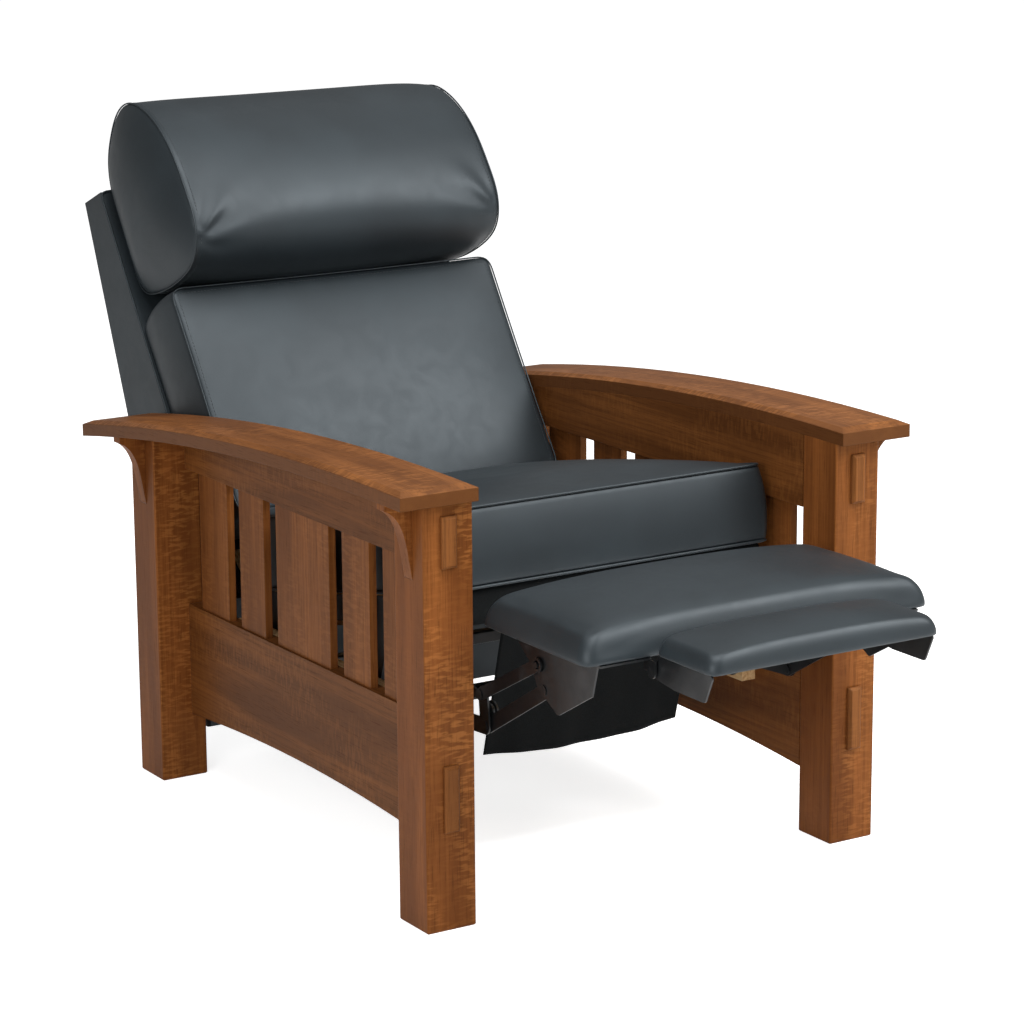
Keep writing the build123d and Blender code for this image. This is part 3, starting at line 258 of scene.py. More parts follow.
def oak(name, stain, grain, fleck_face, figure, soak=0.0):
    """Quarter-sawn white oak, stained brown and lacquered satin. It shows straight dark pores along the
    grain, slow bands of lighter and darker wood, and on its quartered faces pale shining ray flecks that
    run across the grain.
    grain is the axis the board runs along, fleck_face the axis its quartered faces look along, figure how
    strongly the flecks show, and soak how much darker its other faces take the stain."""
    wood = bpy.context.scene.armchair_wood
    made, tree = material(name)
    place = add(tree, "TexCoord")
    parts = add(tree, "SeparateXYZ", {0: place.outputs["Object"]})
    across = [axis for axis in range(3) if axis != grain]
    turned = add(tree, "CombineXYZ", {
        0: parts.outputs[across[0]], 1: parts.outputs[across[1]], 2: parts.outputs[grain]})
    ring_scale, fleck_scale = 1.0 / wood.ring_width, 1.0 / wood.fleck_height
    # Oak's pores are 0.3 mm wide, drawn at 1.3 mm so that they show
    pore_scale = 1.0 / (1.3 * MM)
    # Each noise by its stretch across and along the grain, scale, detail, roughness and distortion. The
    # bands are about 45 mm wide and the patches where flecks gather about 70 mm
    rings, bands, pores, flecks, patches = (
        add(tree, "TexNoise", {
            "Vector": add(tree, "VectorMath", {0: turned, 1: stretch}, operation="MULTIPLY"),
            "Scale": scale, "Detail": detail, "Roughness": rough, "Distortion": distortion})
        for stretch, scale, detail, rough, distortion in (
            ((1.0, 1.0, 0.014), ring_scale, 4.0, 0.6, 0.0),
            ((1.0, 1.0, 0.1), 22.0, 3.0, 0.5, 0.0),
            ((1.0, 1.0, 0.035), pore_scale, 1.0, 0.5, 0.0),
            ((0.22, 0.22, 1.0), fleck_scale, 2.0, 0.5, 0.35),
            ((1.0, 1.0, 0.35), 14.0, 2.0, 0.5, 0.0),
        ))
    facing = add(tree, "SeparateXYZ", {0: place.outputs["Normal"]})
    squarely = add(tree, "Math", {0: facing.outputs[fleck_face]}, operation="ABSOLUTE")
    quartered = add(tree, "MapRange", {0: squarely, 1: 0.3, 2: 0.9, 3: 0.1, 4: figure}, **EASED)
    gathered = add(tree, "MapRange", {0: patches, 1: 0.4, 2: 0.62, 3: 0.12}, **EASED)
    fleck = add(tree, "MapRange", {0: flecks, 1: 0.46, 2: 0.6}, **EASED)
    for limit in (gathered, quartered):
        fleck = add(tree, "Math", {0: fleck, 1: limit}, operation="MULTIPLY")
    pore, ray = tuple(wood.pore), tuple(wood.ray)
    dark = add(tree, "Mix", {0: 0.45, 6: stain, 7: pore}, **COLOURS)
    light = add(tree, "Mix", {0: 0.2, 6: stain, 7: ray}, **COLOURS)
    dashes = add(tree, "MapRange", {0: pores, 1: 0.58, 2: 0.72, 4: 0.4}, **EASED)
    # The bands of light wood over the dark, then rings, stain soaked into end and flat grain, flecks, pores
    body = dark
    for share, over in (
        (add(tree, "MapRange", {0: bands, 1: 0.3, 2: 0.7}, **EASED), light),
        (add(tree, "MapRange", {0: rings, 1: 0.42, 2: 0.64, 4: 0.66}, **EASED), dark),
        (add(tree, "MapRange", {0: squarely, 1: 0.3, 2: 0.9, 3: soak, 4: 0.0}, **EASED), dark),
        (add(tree, "Math", {0: fleck, 1: 0.46}, operation="MULTIPLY"), ray),
        (dashes, pore),
    ):
        body = add(tree, "Mix", {0: share, 6: body, 7: over}, **COLOURS)
    shine = add(tree, "MapRange", {0: fleck, 3: 0.46, 4: 0.38}, **EASED)
    rough = add(tree, "Math", {0: dashes, 1: 0.2, 2: shine}, operation="MULTIPLY_ADD")
    risen = add(tree, "Math", {0: rings, 1: 0.3}, operation="MULTIPLY")
    height = add(tree, "Math", {0: risen, 1: dashes}, operation="SUBTRACT")
    eased = add(tree, "Bevel", {"Radius": wood.eased}, samples=4)
    bump = add(tree, "Bump", {"Strength": 0.2, "Distance": 0.2 * MM, "Height": height, "Normal": eased})
    return surfaced(made, {"Base Color": body, "Roughness": rough, "Normal": bump,
                           "Specular IOR Level": 0.16, "Specular Tint": tuple(wood.lacquer)})


def leather():
    """Dyed upholstery leather with a corrected grain, made once for all cushions. It has a fine pebble, soft
    drawn creases, a broad grey sheen, and is a little paler where it is rubbed."""
    hide, name = bpy.context.scene.armchair_leather, "slate_black_leather"
    if name in bpy.data.materials:
        return bpy.data.materials[name]
    made, tree = material(name)
    place = add(tree, "TexCoord").outputs["Object"]
    pebbles = 1.0 / hide.pebble
    cells = add(tree, "TexVoronoi", {"Vector": place, "Scale": pebbles, "Randomness": 0.9},
                feature="SMOOTH_F1")
    fine = add(tree, "TexNoise", {"Vector": place, "Scale": 3.0 * pebbles, "Detail": 2.0})
    # Creases about 38 mm apart, and rubbed clouds about 140 mm wide
    creases = add(tree, "TexNoise", {"Vector": place, "Scale": 26.0, "Detail": 6.0, "Roughness": 0.6,
                                     "Distortion": 0.8})
    clouds = add(tree, "TexNoise", {"Vector": place, "Scale": 7.0, "Detail": 3.0})
    body = tuple(hide.hide)
    for share in (add(tree, "MapRange", {0: clouds, 1: 0.35, 2: 0.7, 4: 0.5}, **EASED),
                  add(tree, "MapRange", {0: cells, 2: 0.8, 4: 0.25}, **EASED)):
        body = add(tree, "Mix", {0: share, 6: body, 7: tuple(hide.worn)}, **COLOURS)
    uneven = add(tree, "MapRange", {0: creases, 1: 0.3, 2: 0.7, 3: -0.02, 4: 0.03}, **EASED)
    rough = add(tree, "Math", {0: uneven, 1: hide.roughness}, operation="ADD")
    sunk = add(tree, "Math", {0: cells, 1: -1.0}, operation="MULTIPLY")
    grain = add(tree, "Math", {0: fine, 1: 0.3, 2: sunk}, operation="MULTIPLY_ADD")
    drawn = add(tree, "Bump", {"Strength": 0.015, "Distance": 1.2 * MM, "Height": creases})
    bump = add(tree, "Bump", {"Strength": 0.16, "Distance": 0.2 * MM, "Height": grain, "Normal": drawn})
    return surfaced(made, {"Base Color": body, "Roughness": rough, "Normal": bump,
                           "Specular Tint": tuple(hide.sheen)})


def thread():
    """Bonded polyester thread, made once: dull, with darker flecks along it that are painted shade of its
    twisted plies.
    """
    name, tint = "dark_polyester_thread", tuple(bpy.context.scene.armchair_leather.thread)
    if name in bpy.data.materials:
        return bpy.data.materials[name]
    made, tree = material(name)
    # Painted shade where the twisted plies turn, about every 0.7 mm
    twist_shade = add(tree, "TexNoise", {"Vector": add(tree, "TexCoord").outputs["Object"], "Scale": 1500.0,
                                   "Detail": 1.0})
    body = add(tree, "Mix", {0: twist_shade, 6: tint, 7: darkened(tint, 0.6)}, **COLOURS)
    return surfaced(made, {"Base Color": body, "Roughness": 0.65})


def painted_steel(name, tint):
    """Pressed steel strip in black satin enamel: smooth, faintly orange-peeled, and scuffed grey."""
    made, tree = material(name)
    place = add(tree, "TexCoord").outputs["Object"]
    # The peel's dimples are 2.4 mm apart, the scuffs about 30 mm
    peel = add(tree, "TexNoise", {"Vector": place, "Scale": 420.0, "Detail": 2.0})
    scuffs = add(tree, "TexNoise", {"Vector": place, "Scale": 34.0, "Detail": 8.0, "Roughness": 0.7})
    scuffed = add(tree, "MapRange", {0: scuffs, 1: 0.58, 2: 0.74, 4: 0.45}, **EASED)
    body = add(tree, "Mix", {0: scuffed, 6: tint, 7: linear("3c3d3f")}, **COLOURS)
    rough = add(tree, "MapRange", {0: scuffs, 1: 0.3, 2: 0.7, 3: 0.28, 4: 0.48}, **EASED)
    bump = add(tree, "Bump", {"Strength": 0.1, "Distance": 0.1 * MM, "Height": peel})
    return surfaced(made, {"Base Color": body, "Roughness": rough, "Normal": bump})


def bare_metal(name, tint, roughness, streak):
    """Plated or oiled steel: metallic, with fine drawn streaks that spread its highlights.
    streak is the width of a streak in millimetres."""
    made, tree = material(name)
    drawn = add(tree, "VectorMath", {0: add(tree, "TexCoord").outputs["Object"], 1: (1.0, 0.15, 0.15)},
                operation="MULTIPLY")
    streaks = add(tree, "TexNoise", {"Vector": drawn, "Scale": 1.0 / (streak * MM), "Detail": 4.0})
    shaded = add(tree, "MapRange", {0: streaks, 1: 0.3, 2: 0.7, 4: 0.4}, **EASED)
    body = add(tree, "Mix", {0: shaded, 6: tint, 7: darkened(tint, 0.55)}, **COLOURS)
    rough = add(tree, "MapRange", {0: streaks, 1: 0.3, 2: 0.7, 3: roughness - 0.06, 4: roughness + 0.1},
                **EASED)
    return surfaced(made, {"Base Color": body, "Roughness": rough, "Metallic": 1.0})


def plain_board(name, grain):
    """Unfinished poplar and ply: pale, dry and matt, with slow straight grain along an axis."""
    made, tree = material(name)
    stretch = [0.06 if axis == grain else 1.0 for axis in range(3)]
    spread = add(tree, "VectorMath", {0: add(tree, "TexCoord").outputs["Object"], 1: stretch},
                 operation="MULTIPLY")
    # The grain lines are 4 mm apart
    grown = add(tree, "TexNoise", {"Vector": spread, "Scale": 240.0, "Detail": 4.0})
    share = add(tree, "MapRange", {0: grown, 1: 0.3, 2: 0.7}, **EASED)
    body = add(tree, "Mix", {0: share, 6: linear("b98f5f"), 7: linear("d9b98a")}, **COLOURS)
    bump = add(tree, "Bump", {"Strength": 0.2, "Distance": 0.2 * MM, "Height": grown})
    return surfaced(made, {"Base Color": body, "Roughness": 0.72, "Normal": bump})


def cloth_and_painted_shade():
    """Spun-bonded black lining cloth, made once: matt fibres pressed together, with a faint dimpled bond
    pattern."""
    # This cloth also covers the seat's front rail, which is leather: there its black is painted shade, for
    # the shade under the seat cushion
    name = "black_lining_cloth"
    if name in bpy.data.materials:
        return bpy.data.materials[name]
    made, tree = material(name)
    place = add(tree, "TexCoord").outputs["Object"]
    # The bond points stand 1.2 mm apart, drawn at 2.4 mm so that they show, and the fibres 1.4 mm
    dots = add(tree, "TexVoronoi", {"Vector": place, "Scale": 1.0 / (2.4 * MM), "Randomness": 0.25})
    fibres = add(tree, "TexNoise", {"Vector": place, "Scale": 700.0, "Detail": 5.0})
    share = add(tree, "MapRange", {0: fibres, 1: 0.3, 2: 0.7}, **EASED)
    body = add(tree, "Mix", {0: share, 6: linear("060809"), 7: linear("101314")}, **COLOURS)
    height = add(tree, "Math", {0: dots, 1: fibres}, operation="ADD")
    bump = add(tree, "Bump", {"Strength": 0.3, "Distance": 0.3 * MM, "Height": height})
    return surfaced(made, {"Base Color": body, "Roughness": 0.85, "Normal": bump,
                           "Specular IOR Level": 0.15})


# Mesh making

def piece_of(name, points, faces, body, finish):
    """A smooth mesh piece from placed points and faces, riding on a body."""
    mesh = bpy.data.meshes.new(name)
    mesh.from_pydata(points.tolist(), [], faces.tolist() if hasattr(faces, "tolist") else faces)
    mesh.validate()
    mesh.polygons.foreach_set("use_smooth", np.ones(len(mesh.polygons), bool))
    mesh.update()
    piece = bpy.data.objects.new(name, mesh)
    bpy.context.scene.collection.objects.link(piece)
    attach(piece, body)
    mesh.materials.append(finish)
    return piece


class Skin:
    """A cube's skin as grids of cells joined along the edges, its shares running from -1 to 1."""

    def __init__(self, counts):
        self.counts = np.array(counts)
        quads = []
        for axis in range(3):
            a, b = (axis + 1) % 3, (axis + 2) % 3
            p, q = np.meshgrid(np.arange(counts[a]), np.arange(counts[b]), indexing="ij")
            for end in (0, counts[axis]):
                corners = []
                for step_a, step_b in ((0, 0), (1, 0), (1, 1), (0, 1)):
                    lattice = np.zeros(p.shape + (3,), int)
                    lattice[..., axis] = end
                    lattice[..., a] = p + step_a
                    lattice[..., b] = q + step_b
                    corners.append(self.code(lattice).ravel())
                face = np.stack(corners, axis=1)
                quads.append(face if end else face[:, ::-1])
        quads = np.concatenate(quads)
        self.codes, faces = np.unique(quads, return_inverse=True)
        self.faces = faces.reshape(quads.shape)
        wide, deep = self.counts[0] + 1, self.counts[1] + 1
        lattice = np.stack((self.codes % wide, self.codes // wide % deep, self.codes // (wide * deep)), 1)
        self.shares = 2.0 * lattice / self.counts - 1.0

    def code(self, lattice):
        """One number for each lattice point."""
        wide, deep = self.counts[0] + 1, self.counts[1] + 1
        return lattice[..., 0] + wide * (lattice[..., 1] + deep * lattice[..., 2])

    def ring(self, axis, level, inset=0):
        """The skin's points in order round a level of an axis, or some rows inside its end face."""
        a, b = (axis + 1) % 3, (axis + 2) % 3
        last_a, last_b = self.counts[a] - inset, self.counts[b] - inset
        run_a, run_b = np.arange(inset, last_a), np.arange(inset, last_b)
        lattice = np.zeros((2 * (len(run_a) + len(run_b)), 3), int)
        lattice[:, axis] = level
        lattice[:, a] = np.concatenate(
            (run_a, np.full(len(run_b), last_a), run_a[::-1] + 1, np.full(len(run_b), inset)))
        lattice[:, b] = np.concatenate(
            (np.full(len(run_a), inset), run_b, np.full(len(run_a), last_b), run_b[::-1] + 1))
        return np.searchsorted(self.codes, self.code(lattice))


def rounded_plan(x, y, half_x, half_y, radius):
    """A rectangle's points drawn in at its corners: in each corner's square, x becomes
    x times the root of 1 - y squared / 2, and y the same, which is a quarter disc."""
    core_x, core_y = half_x - radius, half_y - radius
    over_x = np.clip((np.abs(x) - core_x) / radius, 0.0, 1.0)
    over_y = np.clip((np.abs(y) - core_y) / radius, 0.0, 1.0)
    new_x = np.minimum(np.abs(x), core_x) + radius * over_x * np.sqrt(1.0 - over_y**2 / 2.0)
    new_y = np.minimum(np.abs(y), core_y) + radius * over_y * np.sqrt(1.0 - over_x**2 / 2.0)
    return np.sign(x) * new_x, np.sign(y) * new_y


def mesh_points(piece):
    """The points of a piece's mesh as an array."""
    points = np.zeros(3 * len(piece.data.vertices), np.float32)
    piece.data.vertices.foreach_get("co", points)
    return points.reshape(-1, 3).astype(float)


def mesh_normals(piece):
    """The outward directions at a piece's points."""
    normals = np.zeros(3 * len(piece.data.vertices), np.float32)
    piece.data.vertex_normals.foreach_get("vector", normals)
    return normals.reshape(-1, 3).astype(float)


def evened(step, faces, passes):
    """Steps of a mesh's points, each moved half way to the mean of its neighbours' steps in each pass."""
    pairs = np.concatenate([faces[:, [corner, (corner + 1) % 4]] for corner in range(4)])
    pairs = np.concatenate((pairs, pairs[:, ::-1]))
    count = np.bincount(pairs[:, 0], minlength=len(step))[:, None]
    for _ in range(passes):
        total = [np.bincount(pairs[:, 0], step[pairs[:, 1], axis], len(step)) for axis in range(3)]
        total = np.stack(total, 1)
        step = (step + total / np.maximum(count, 1)) / 2.0
    return step


def settle(piece, faces, held, cap):
    """Cloth under air pressure swells the piece between its held points, which stay. The swelling is evened
    out, as taut leather over foam does, and no point goes further than the cap."""
    frames, passes = 20, 14
    rest = mesh_points(piece)
    group = piece.vertex_groups.new(name="held")
    group.add(np.flatnonzero(held).tolist(), 1.0, "REPLACE")
    swell = piece.modifiers.new("swell", "CLOTH")
    cloth = swell.settings
    cloth.quality = 6
    cloth.mass = 0.3
    cloth.tension_stiffness = 15.0
    cloth.compression_stiffness = 15.0
    cloth.shear_stiffness = 6.0
    cloth.bending_stiffness = 6.0
    cloth.use_pressure = True
    cloth.uniform_pressure_force = bpy.context.scene.armchair_cushions.pressure
    cloth.vertex_group_mass = group.name
    cloth.effector_weights.gravity = 0.0
    swell.point_cache.frame_start = 1
    swell.point_cache.frame_end = frames
    for number in range(1, frames + 1):
        bpy.context.scene.frame_set(number)
    settled = piece.evaluated_get(bpy.context.evaluated_depsgraph_get())
    moved = np.zeros(rest.size, np.float32)
    settled.data.vertices.foreach_get("co", moved)
    step = evened(moved.reshape(-1, 3) - rest, faces, passes) * ~held[:, None]
    reach = np.linalg.norm(step, axis=1, keepdims=True)
    step *= np.minimum(1.0, cap / np.maximum(reach, 1e-9))
    piece.modifiers.remove(swell)
    piece.vertex_groups.remove(group)
    piece.data.vertices.foreach_set("co", (rest + step).astype(np.float32).ravel())
    piece.data.update()
    bpy.context.scene.frame_set(1)


def smooth_ring(points, passes=2):
    """A closed line of points, each moved half way to the mean of its two neighbours in each pass."""
    for _ in range(passes):
        points = (np.roll(points, 1, 0) + 2.0 * points + np.roll(points, -1, 0)) / 4.0
    return points


def even_ring(points, others, pitch):
    """A closed line, and the directions at its points, divided again at an even pitch."""
    closed = np.concatenate((points, points[:1]))
    lengths = np.concatenate(([0.0], np.cumsum(np.linalg.norm(np.diff(closed, axis=0), axis=1))))
    places = np.linspace(0.0, lengths[-1], max(8, int(lengths[-1] / pitch)), endpoint=False)
    along = np.stack([np.interp(places, lengths, closed[:, axis]) for axis in range(3)], 1)
    closed = np.concatenate((others, others[:1]))
    turned = np.stack([np.interp(places, lengths, closed[:, axis]) for axis in range(3)], 1)
    return along, turned / np.linalg.norm(turned, axis=1, keepdims=True)


def ring_frame(points, outward):
    """Directions along a closed line, out from the surface, and across both."""
    along = np.roll(points, -1, 0) - np.roll(points, 1, 0)
    along /= np.linalg.norm(along, axis=1, keepdims=True)
    out = outward - np.sum(outward * along, axis=1, keepdims=True) * along
    out /= np.linalg.norm(out, axis=1, keepdims=True)
    return along, out, np.cross(along, out)


def welt(name, piece, ring, body, radius):
    """A corded welt: a circle carried round the seam, about a third of its width sunk in the leather."""
    pitch, sides = 5.0 * MM, 10
    points, outward = even_ring(smooth_ring(mesh_points(piece)[ring]), mesh_normals(piece)[ring], pitch)
    outward = smooth_ring(outward, 6)
    along, out, side = ring_frame(points, outward)
    angles = np.linspace(0.0, 2.0 * math.pi, sides, endpoint=False)
    cosine, sine = np.cos(angles)[None, :, None], np.sin(angles)[None, :, None]
    circle = radius * (cosine * out[:, None] + sine * side[:, None])
    tube = (points + 0.4 * radius * out)[:, None] + circle
    rows, columns = len(points), len(angles)
    first = np.arange(rows)[:, None] * columns + np.arange(columns)[None]
    over = np.roll(first, -1, 1)
    faces = np.stack((first, over, np.roll(over, -1, 0), np.roll(first, -1, 0)), 2).reshape(-1, 4)
    return piece_of(name, tube.reshape(-1, 3), faces[:, ::-1], body, leather())


def stitches(name, piece, rings, body):
    """Top stitching: each stitch is a six-sided spindle, its ends narrow and sunk, laid along the seam."""
    hide = bpy.context.scene.armchair_leather
    spots, runs, outs, sides = [], [], [], []
    for ring in rings:
        points, outward = even_ring(smooth_ring(mesh_points(piece)[ring]), mesh_normals(piece)[ring],
                                    hide.stitch_pitch)
        along, out, side = ring_frame(points, smooth_ring(outward, 4))
        spots.append(points)
        runs.append(along)
        outs.append(out)
        sides.append(side)
    spots, runs, outs, sides = (np.concatenate(part)[:, None, None] for part in (spots, runs, outs, sides))
    stations = np.array([-0.5, -0.3, 0.3, 0.5])[None, :, None, None] * hide.stitch_length
    fullness = np.array([0.35, 1.0, 1.0, 0.35])[None, :, None, None] * hide.stitch_radius
    sink = np.array([-0.9, 0.3, 0.3, -0.9])[None, :, None, None] * hide.stitch_radius
    angles = np.linspace(0.0, 2.0 * math.pi, 6, endpoint=False)[None, None, :, None]
    points = spots + runs * stations + outs * (sink + fullness * np.cos(angles))
    points = points + sides * fullness * np.sin(angles)
    ring_ids = np.arange(points.size // 3).reshape(points.shape[:3])
    first, ahead = ring_ids[:, :-1], ring_ids[:, 1:]
    walls = np.stack((first, ahead, np.roll(ahead, -1, 2), np.roll(first, -1, 2)), 3).reshape(-1, 4)
    faces = walls[:, ::-1].tolist() + ring_ids[:, 0, ::-1].tolist() + ring_ids[:, -1].tolist()
    return piece_of(name, points.reshape(-1, 3), faces, body, thread())


def soften(piece):
    """One level of subdivision."""
    finer = piece.modifiers.new("soften", "SUBSURF")
    finer.levels = 1
    finer.render_levels = 1


def counts_for(*lengths):
    """How many cells fill each length in millimetres."""
    cell = bpy.context.scene.armchair_cushions.cell / MM
    return [max(4, int(round(length / cell))) for length in lengths]


def boxed_form(skin, width, depth, boxing, crown, radius, belly, drawn, flatness):
    """A box cushion. In plan a rounded rectangle, its sides drawn in between the corners by drawn times
    1 - the square of the distance along them. Its top stands up from the seam by
    crown (1 - |u|^f)^0.7 (1 - |v|^f)^0.7 with f its flatness, and its band bulges by belly (1 - w^2)."""
    u, v, w = skin.shares.T
    half_x, half_y = width / 2.0, depth / 2.0
    x, y = rounded_plan(u * half_x, v * half_y, half_x, half_y, radius)
    side_x, side_y = np.abs(u) ** 4, np.abs(v) ** 4
    bulge = belly * (1.0 - w**2)
    x += np.sign(u) * side_x * (bulge - drawn * (1.0 - v**2))
    y += np.sign(v) * side_y * (bulge - drawn * (1.0 - u**2))
    dome = np.clip(1.0 - np.abs(u) ** flatness, 0.0, 1.0) * np.clip(1.0 - np.abs(v) ** flatness, 0.0, 1.0)
    z = boxing * (w + 1.0) / 2.0 + (w > ON_END) * crown * dome**0.7
    return np.stack((x, y, z), 1)


# The pillow's section, as shares of its depth and height: arcs by their start, a point on them, their end
PILLOW_ARCS = (
    ((0.0, 0.13), (0.37, 0.03), (0.82, 0.0)),
    ((0.82, 0.0), (0.965, 0.09), (1.0, 0.31)),
    ((1.0, 0.31), (0.95, 0.63), (0.76, 0.88)),
    ((0.76, 0.88), (0.5, 1.0), (0.23, 0.93)),
    ((0.23, 0.93), (0.07, 0.84), (0.0, 0.7)),
)


def arc_through(first, middle, last, count=40):
    """Points from the first to the last of three points, on the circle through them."""
    first, middle, last = (np.array(point) for point in (first, middle, last))
    doubled = 2.0 * np.array([middle - first, last - first])
    squares = np.array([middle @ middle - first @ first, last @ last - first @ first])
    centre = np.linalg.solve(doubled, squares)
    start, end = (math.atan2(*(point - centre)[::-1]) for point in (first, last))
    end += 2.0 * math.pi * round((start - end) / (2.0 * math.pi))
    turn = np.linspace(start, end, count)
    radius = np.linalg.norm(first - centre)
    return centre + radius * np.stack((np.cos(turn), np.sin(turn)), 1)


def section_at(p, q, depth, height):
    """A square's points carried onto the pillow's section: its rim goes by length onto the arcs, which are
    smoothed where they meet, and what lies inside goes the same share of the way from the middle. Also
    returns that share."""
    steps, passes = 400, 150
    arcs = [arc_through(*arc) * (depth, height) for arc in PILLOW_ARCS]
    outline = np.concatenate(arcs + [arcs[0][:1]])
    lengths = np.concatenate(([0.0], np.cumsum(np.linalg.norm(np.diff(outline, axis=0), axis=1))))
    evenly = np.linspace(0.0, lengths[-1], steps + 1)
    eased = np.stack([np.interp(evenly[:-1], lengths, outline[:, axis]) for axis in range(2)], 1)
    eased = smooth_ring(eased, passes)
    eased = np.concatenate((eased, eased[:1]))
    ends = np.cumsum([len(arc) for arc in arcs]) - 1
    # Where the square's corners go: the start, half way along the second arc, the end of the third,
    # and half way along the last
    half = len(arcs[0]) // 2
    corners = [0.0, lengths[ends[0] + half], lengths[ends[2]], lengths[ends[3] + half], lengths[-1]]
    reach = np.maximum(np.maximum(np.abs(p), np.abs(q)), 1e-9)
    p, q = p / reach, q / reach
    side = np.select([q <= -0.999999, p >= 0.999999, q >= 0.999999], [0, 1, 2], 3)
    run = np.choose(side, [p, q, -p, -q])
    length = np.interp((side + (run + 1.0) / 2.0) / 4.0, [0.0, 0.25, 0.5, 0.75, 1.0], corners)
    centre = np.array((depth / 2.0, height / 2.0))
    rim = np.stack([np.interp(length, evenly, eased[:, axis]) for axis in range(2)], 1)
    return (centre + (rim - centre) * reach[:, None]), reach


def creases(points, corner, direction, count, reach, height):
    """Puckers that fan out from a corner: height times the cosine of count times the angle about it,
    times exp(-(angle / spread)^2), times (distance / rise) exp(-distance / reach) but at most 1. Returns
    how far each point moves out."""
    spread, rise = 1.1, 10.0
    offset = points - np.array(corner)
    distance = np.linalg.norm(offset, axis=1)
    angle = np.arctan2(offset[:, 1], offset[:, 0]) - direction
    fan = np.exp(-((angle / spread) ** 2))
    ramp = (distance / rise) * np.exp(-distance / reach)
    return height * np.cos(count * angle) * fan * np.clip(ramp, 0.0, 1.0)


def pad_form(skin, width, depth, height, edge, radius, droop):
    """A rolled pad. Its band is a quarter ellipse from the foot to the top's rim at 0.8 of the height,
    its top rises over that by a dome ((1 - u^2)(1 - v^2))^0.8, and the whole sinks toward its ends by
    droop |u|^3."""
    u, v, w = skin.shares.T
    half_x, half_y = width / 2.0, depth / 2.0
    turn = (w + 1.0) / 2.0 * math.pi / 2.0
    inset = edge * (1.0 - np.cos(turn))
    x, y = rounded_plan(u * half_x, v * half_y, half_x, half_y, radius)
    scale_x, scale_y = (half_x - inset) / half_x, (half_y - inset) / half_y
    rim_height = 0.8 * height
    z = rim_height * np.sin(turn)
    z += (w > ON_END) * (height - rim_height) * ((1.0 - u**2) * (1.0 - v**2)) ** 0.8
    z *= 1.0 - droop * np.abs(u) ** 3
    z = np.where(w < -ON_END, 0.0, z)
    return np.stack((x * scale_x, y * scale_y, z), 1)


def boxed_cushion(name, body, place, width, depth, boxing, crown, belly, flatness):
    """A boxed cushion that swells between its foot and its top seam. Returns it with its skin."""
    cushions, drawn = bpy.context.scene.armchair_cushions, 2.0
    skin = Skin(counts_for(width, depth, boxing))
    form = boxed_form(skin, width, depth, boxing, crown, cushions.corner / MM, belly, drawn, flatness)
    piece = piece_of(name, put(form, place), skin.faces, body, leather())
    held = skin.shares[:, 2] < -ON_END
    held[skin.ring(2, skin.counts[2])] = True
    settle(piece, skin.faces, held, cushions.swell)
    soften(piece)
    return piece, skin


def pillow_form(skin, width, depth, height):
    """The headrest pillow. Its section is the same all along but for its size about its middle, which is
    1 - (0.04 + 0.02 u) |u|^7. Its end panels puff out by puff (1 - r^2.5), r the share of the way from
    the section's middle to its rim. Puckers fan up and inward from the nose's lower corners, pushed out
    from the middle and stronger on the right, and its back is flat."""
    puff = 30.0
    u, v, w = skin.shares.T
    flat, reach = section_at(w, v, depth, height)
    fullness = 1.0 - (0.04 + 0.02 * u) * np.abs(u) ** 7
    centre = np.array((depth / 2.0, height / 2.0))
    flat = centre + (flat - centre) * fullness[:, None]
    x = u * width / 2.0 + np.sign(u) * (np.abs(u) > ON_END) * puff * np.clip(1.0 - reach**2.5, 0.0, 1.0)
    nose = np.clip((flat[:, 0] - centre[0]) / (depth / 2.0), 0.0, 1.0)
    strip = np.stack((width / 2.0 - np.abs(x), flat[:, 1]), 1)
    pucker = creases(strip, corner=(-2.0, 26.0), direction=0.85, count=9.0, reach=26.0, height=6.0)
    pucker *= nose * np.where(u < 0.0, 1.0, 0.6) * (np.abs(u) < ON_END)
    outward = (flat - centre) / np.maximum(np.linalg.norm(flat - centre, axis=1, keepdims=True), 1e-6)
    flat = flat + outward * pucker[:, None]
    return np.stack((x, flat[:, 1], np.maximum(flat[:, 0], 0.0)), 1)


def rail_form(skin, width, thickness, height, roll):
    """A covered rail: straight across, its section a rectangle with corners rounded by the roll, hanging
    from the height 0."""
    u, v, w = skin.shares.T
    y, z = rounded_plan(v * thickness / 2.0, w * height / 2.0, thickness / 2.0, height / 2.0, roll)
    return np.stack((u * width / 2.0, y, z - height / 2.0), 1)


def shell_form(skin, width, corners, lining):
    """The back's shell, straight across. Seen from the side, a point stands the share (1 - v) / 2 of the
    way down and the share (1 - w) / 2 of the way from the front line to the rear line. Its foot follows
    two straight lines, from the front down to the toe and up to the rear foot.
    corners are forward and up: front foot, front top, rear top, rear foot and toe. lining is how far
    the front line stands out from them."""
    front_foot, front_top, rear_top, rear_foot, toe = np.array(corners)
    toe_share = 0.74
    u, v, w = skin.shares.T
    drop, behind = (1.0 - v)[:, None] / 2.0, (1.0 - w)[:, None] / 2.0
    front_line = front_top + (front_foot - front_top) * drop + (lining, 0.0)
    rear_line = rear_top + (rear_foot - rear_top) * drop
    to_toe = front_foot + (toe - front_foot) * behind / toe_share
    from_toe = toe + (rear_foot - toe) * (behind - toe_share) / (1.0 - toe_share)
    foot_line = np.where(behind < toe_share, to_toe, from_toe)
    flat = np.where(v[:, None] < -ON_END, foot_line, front_line + (rear_line - front_line) * behind)
    return np.stack((u * width / 2.0, flat[:, 1], flat[:, 0]), 1)


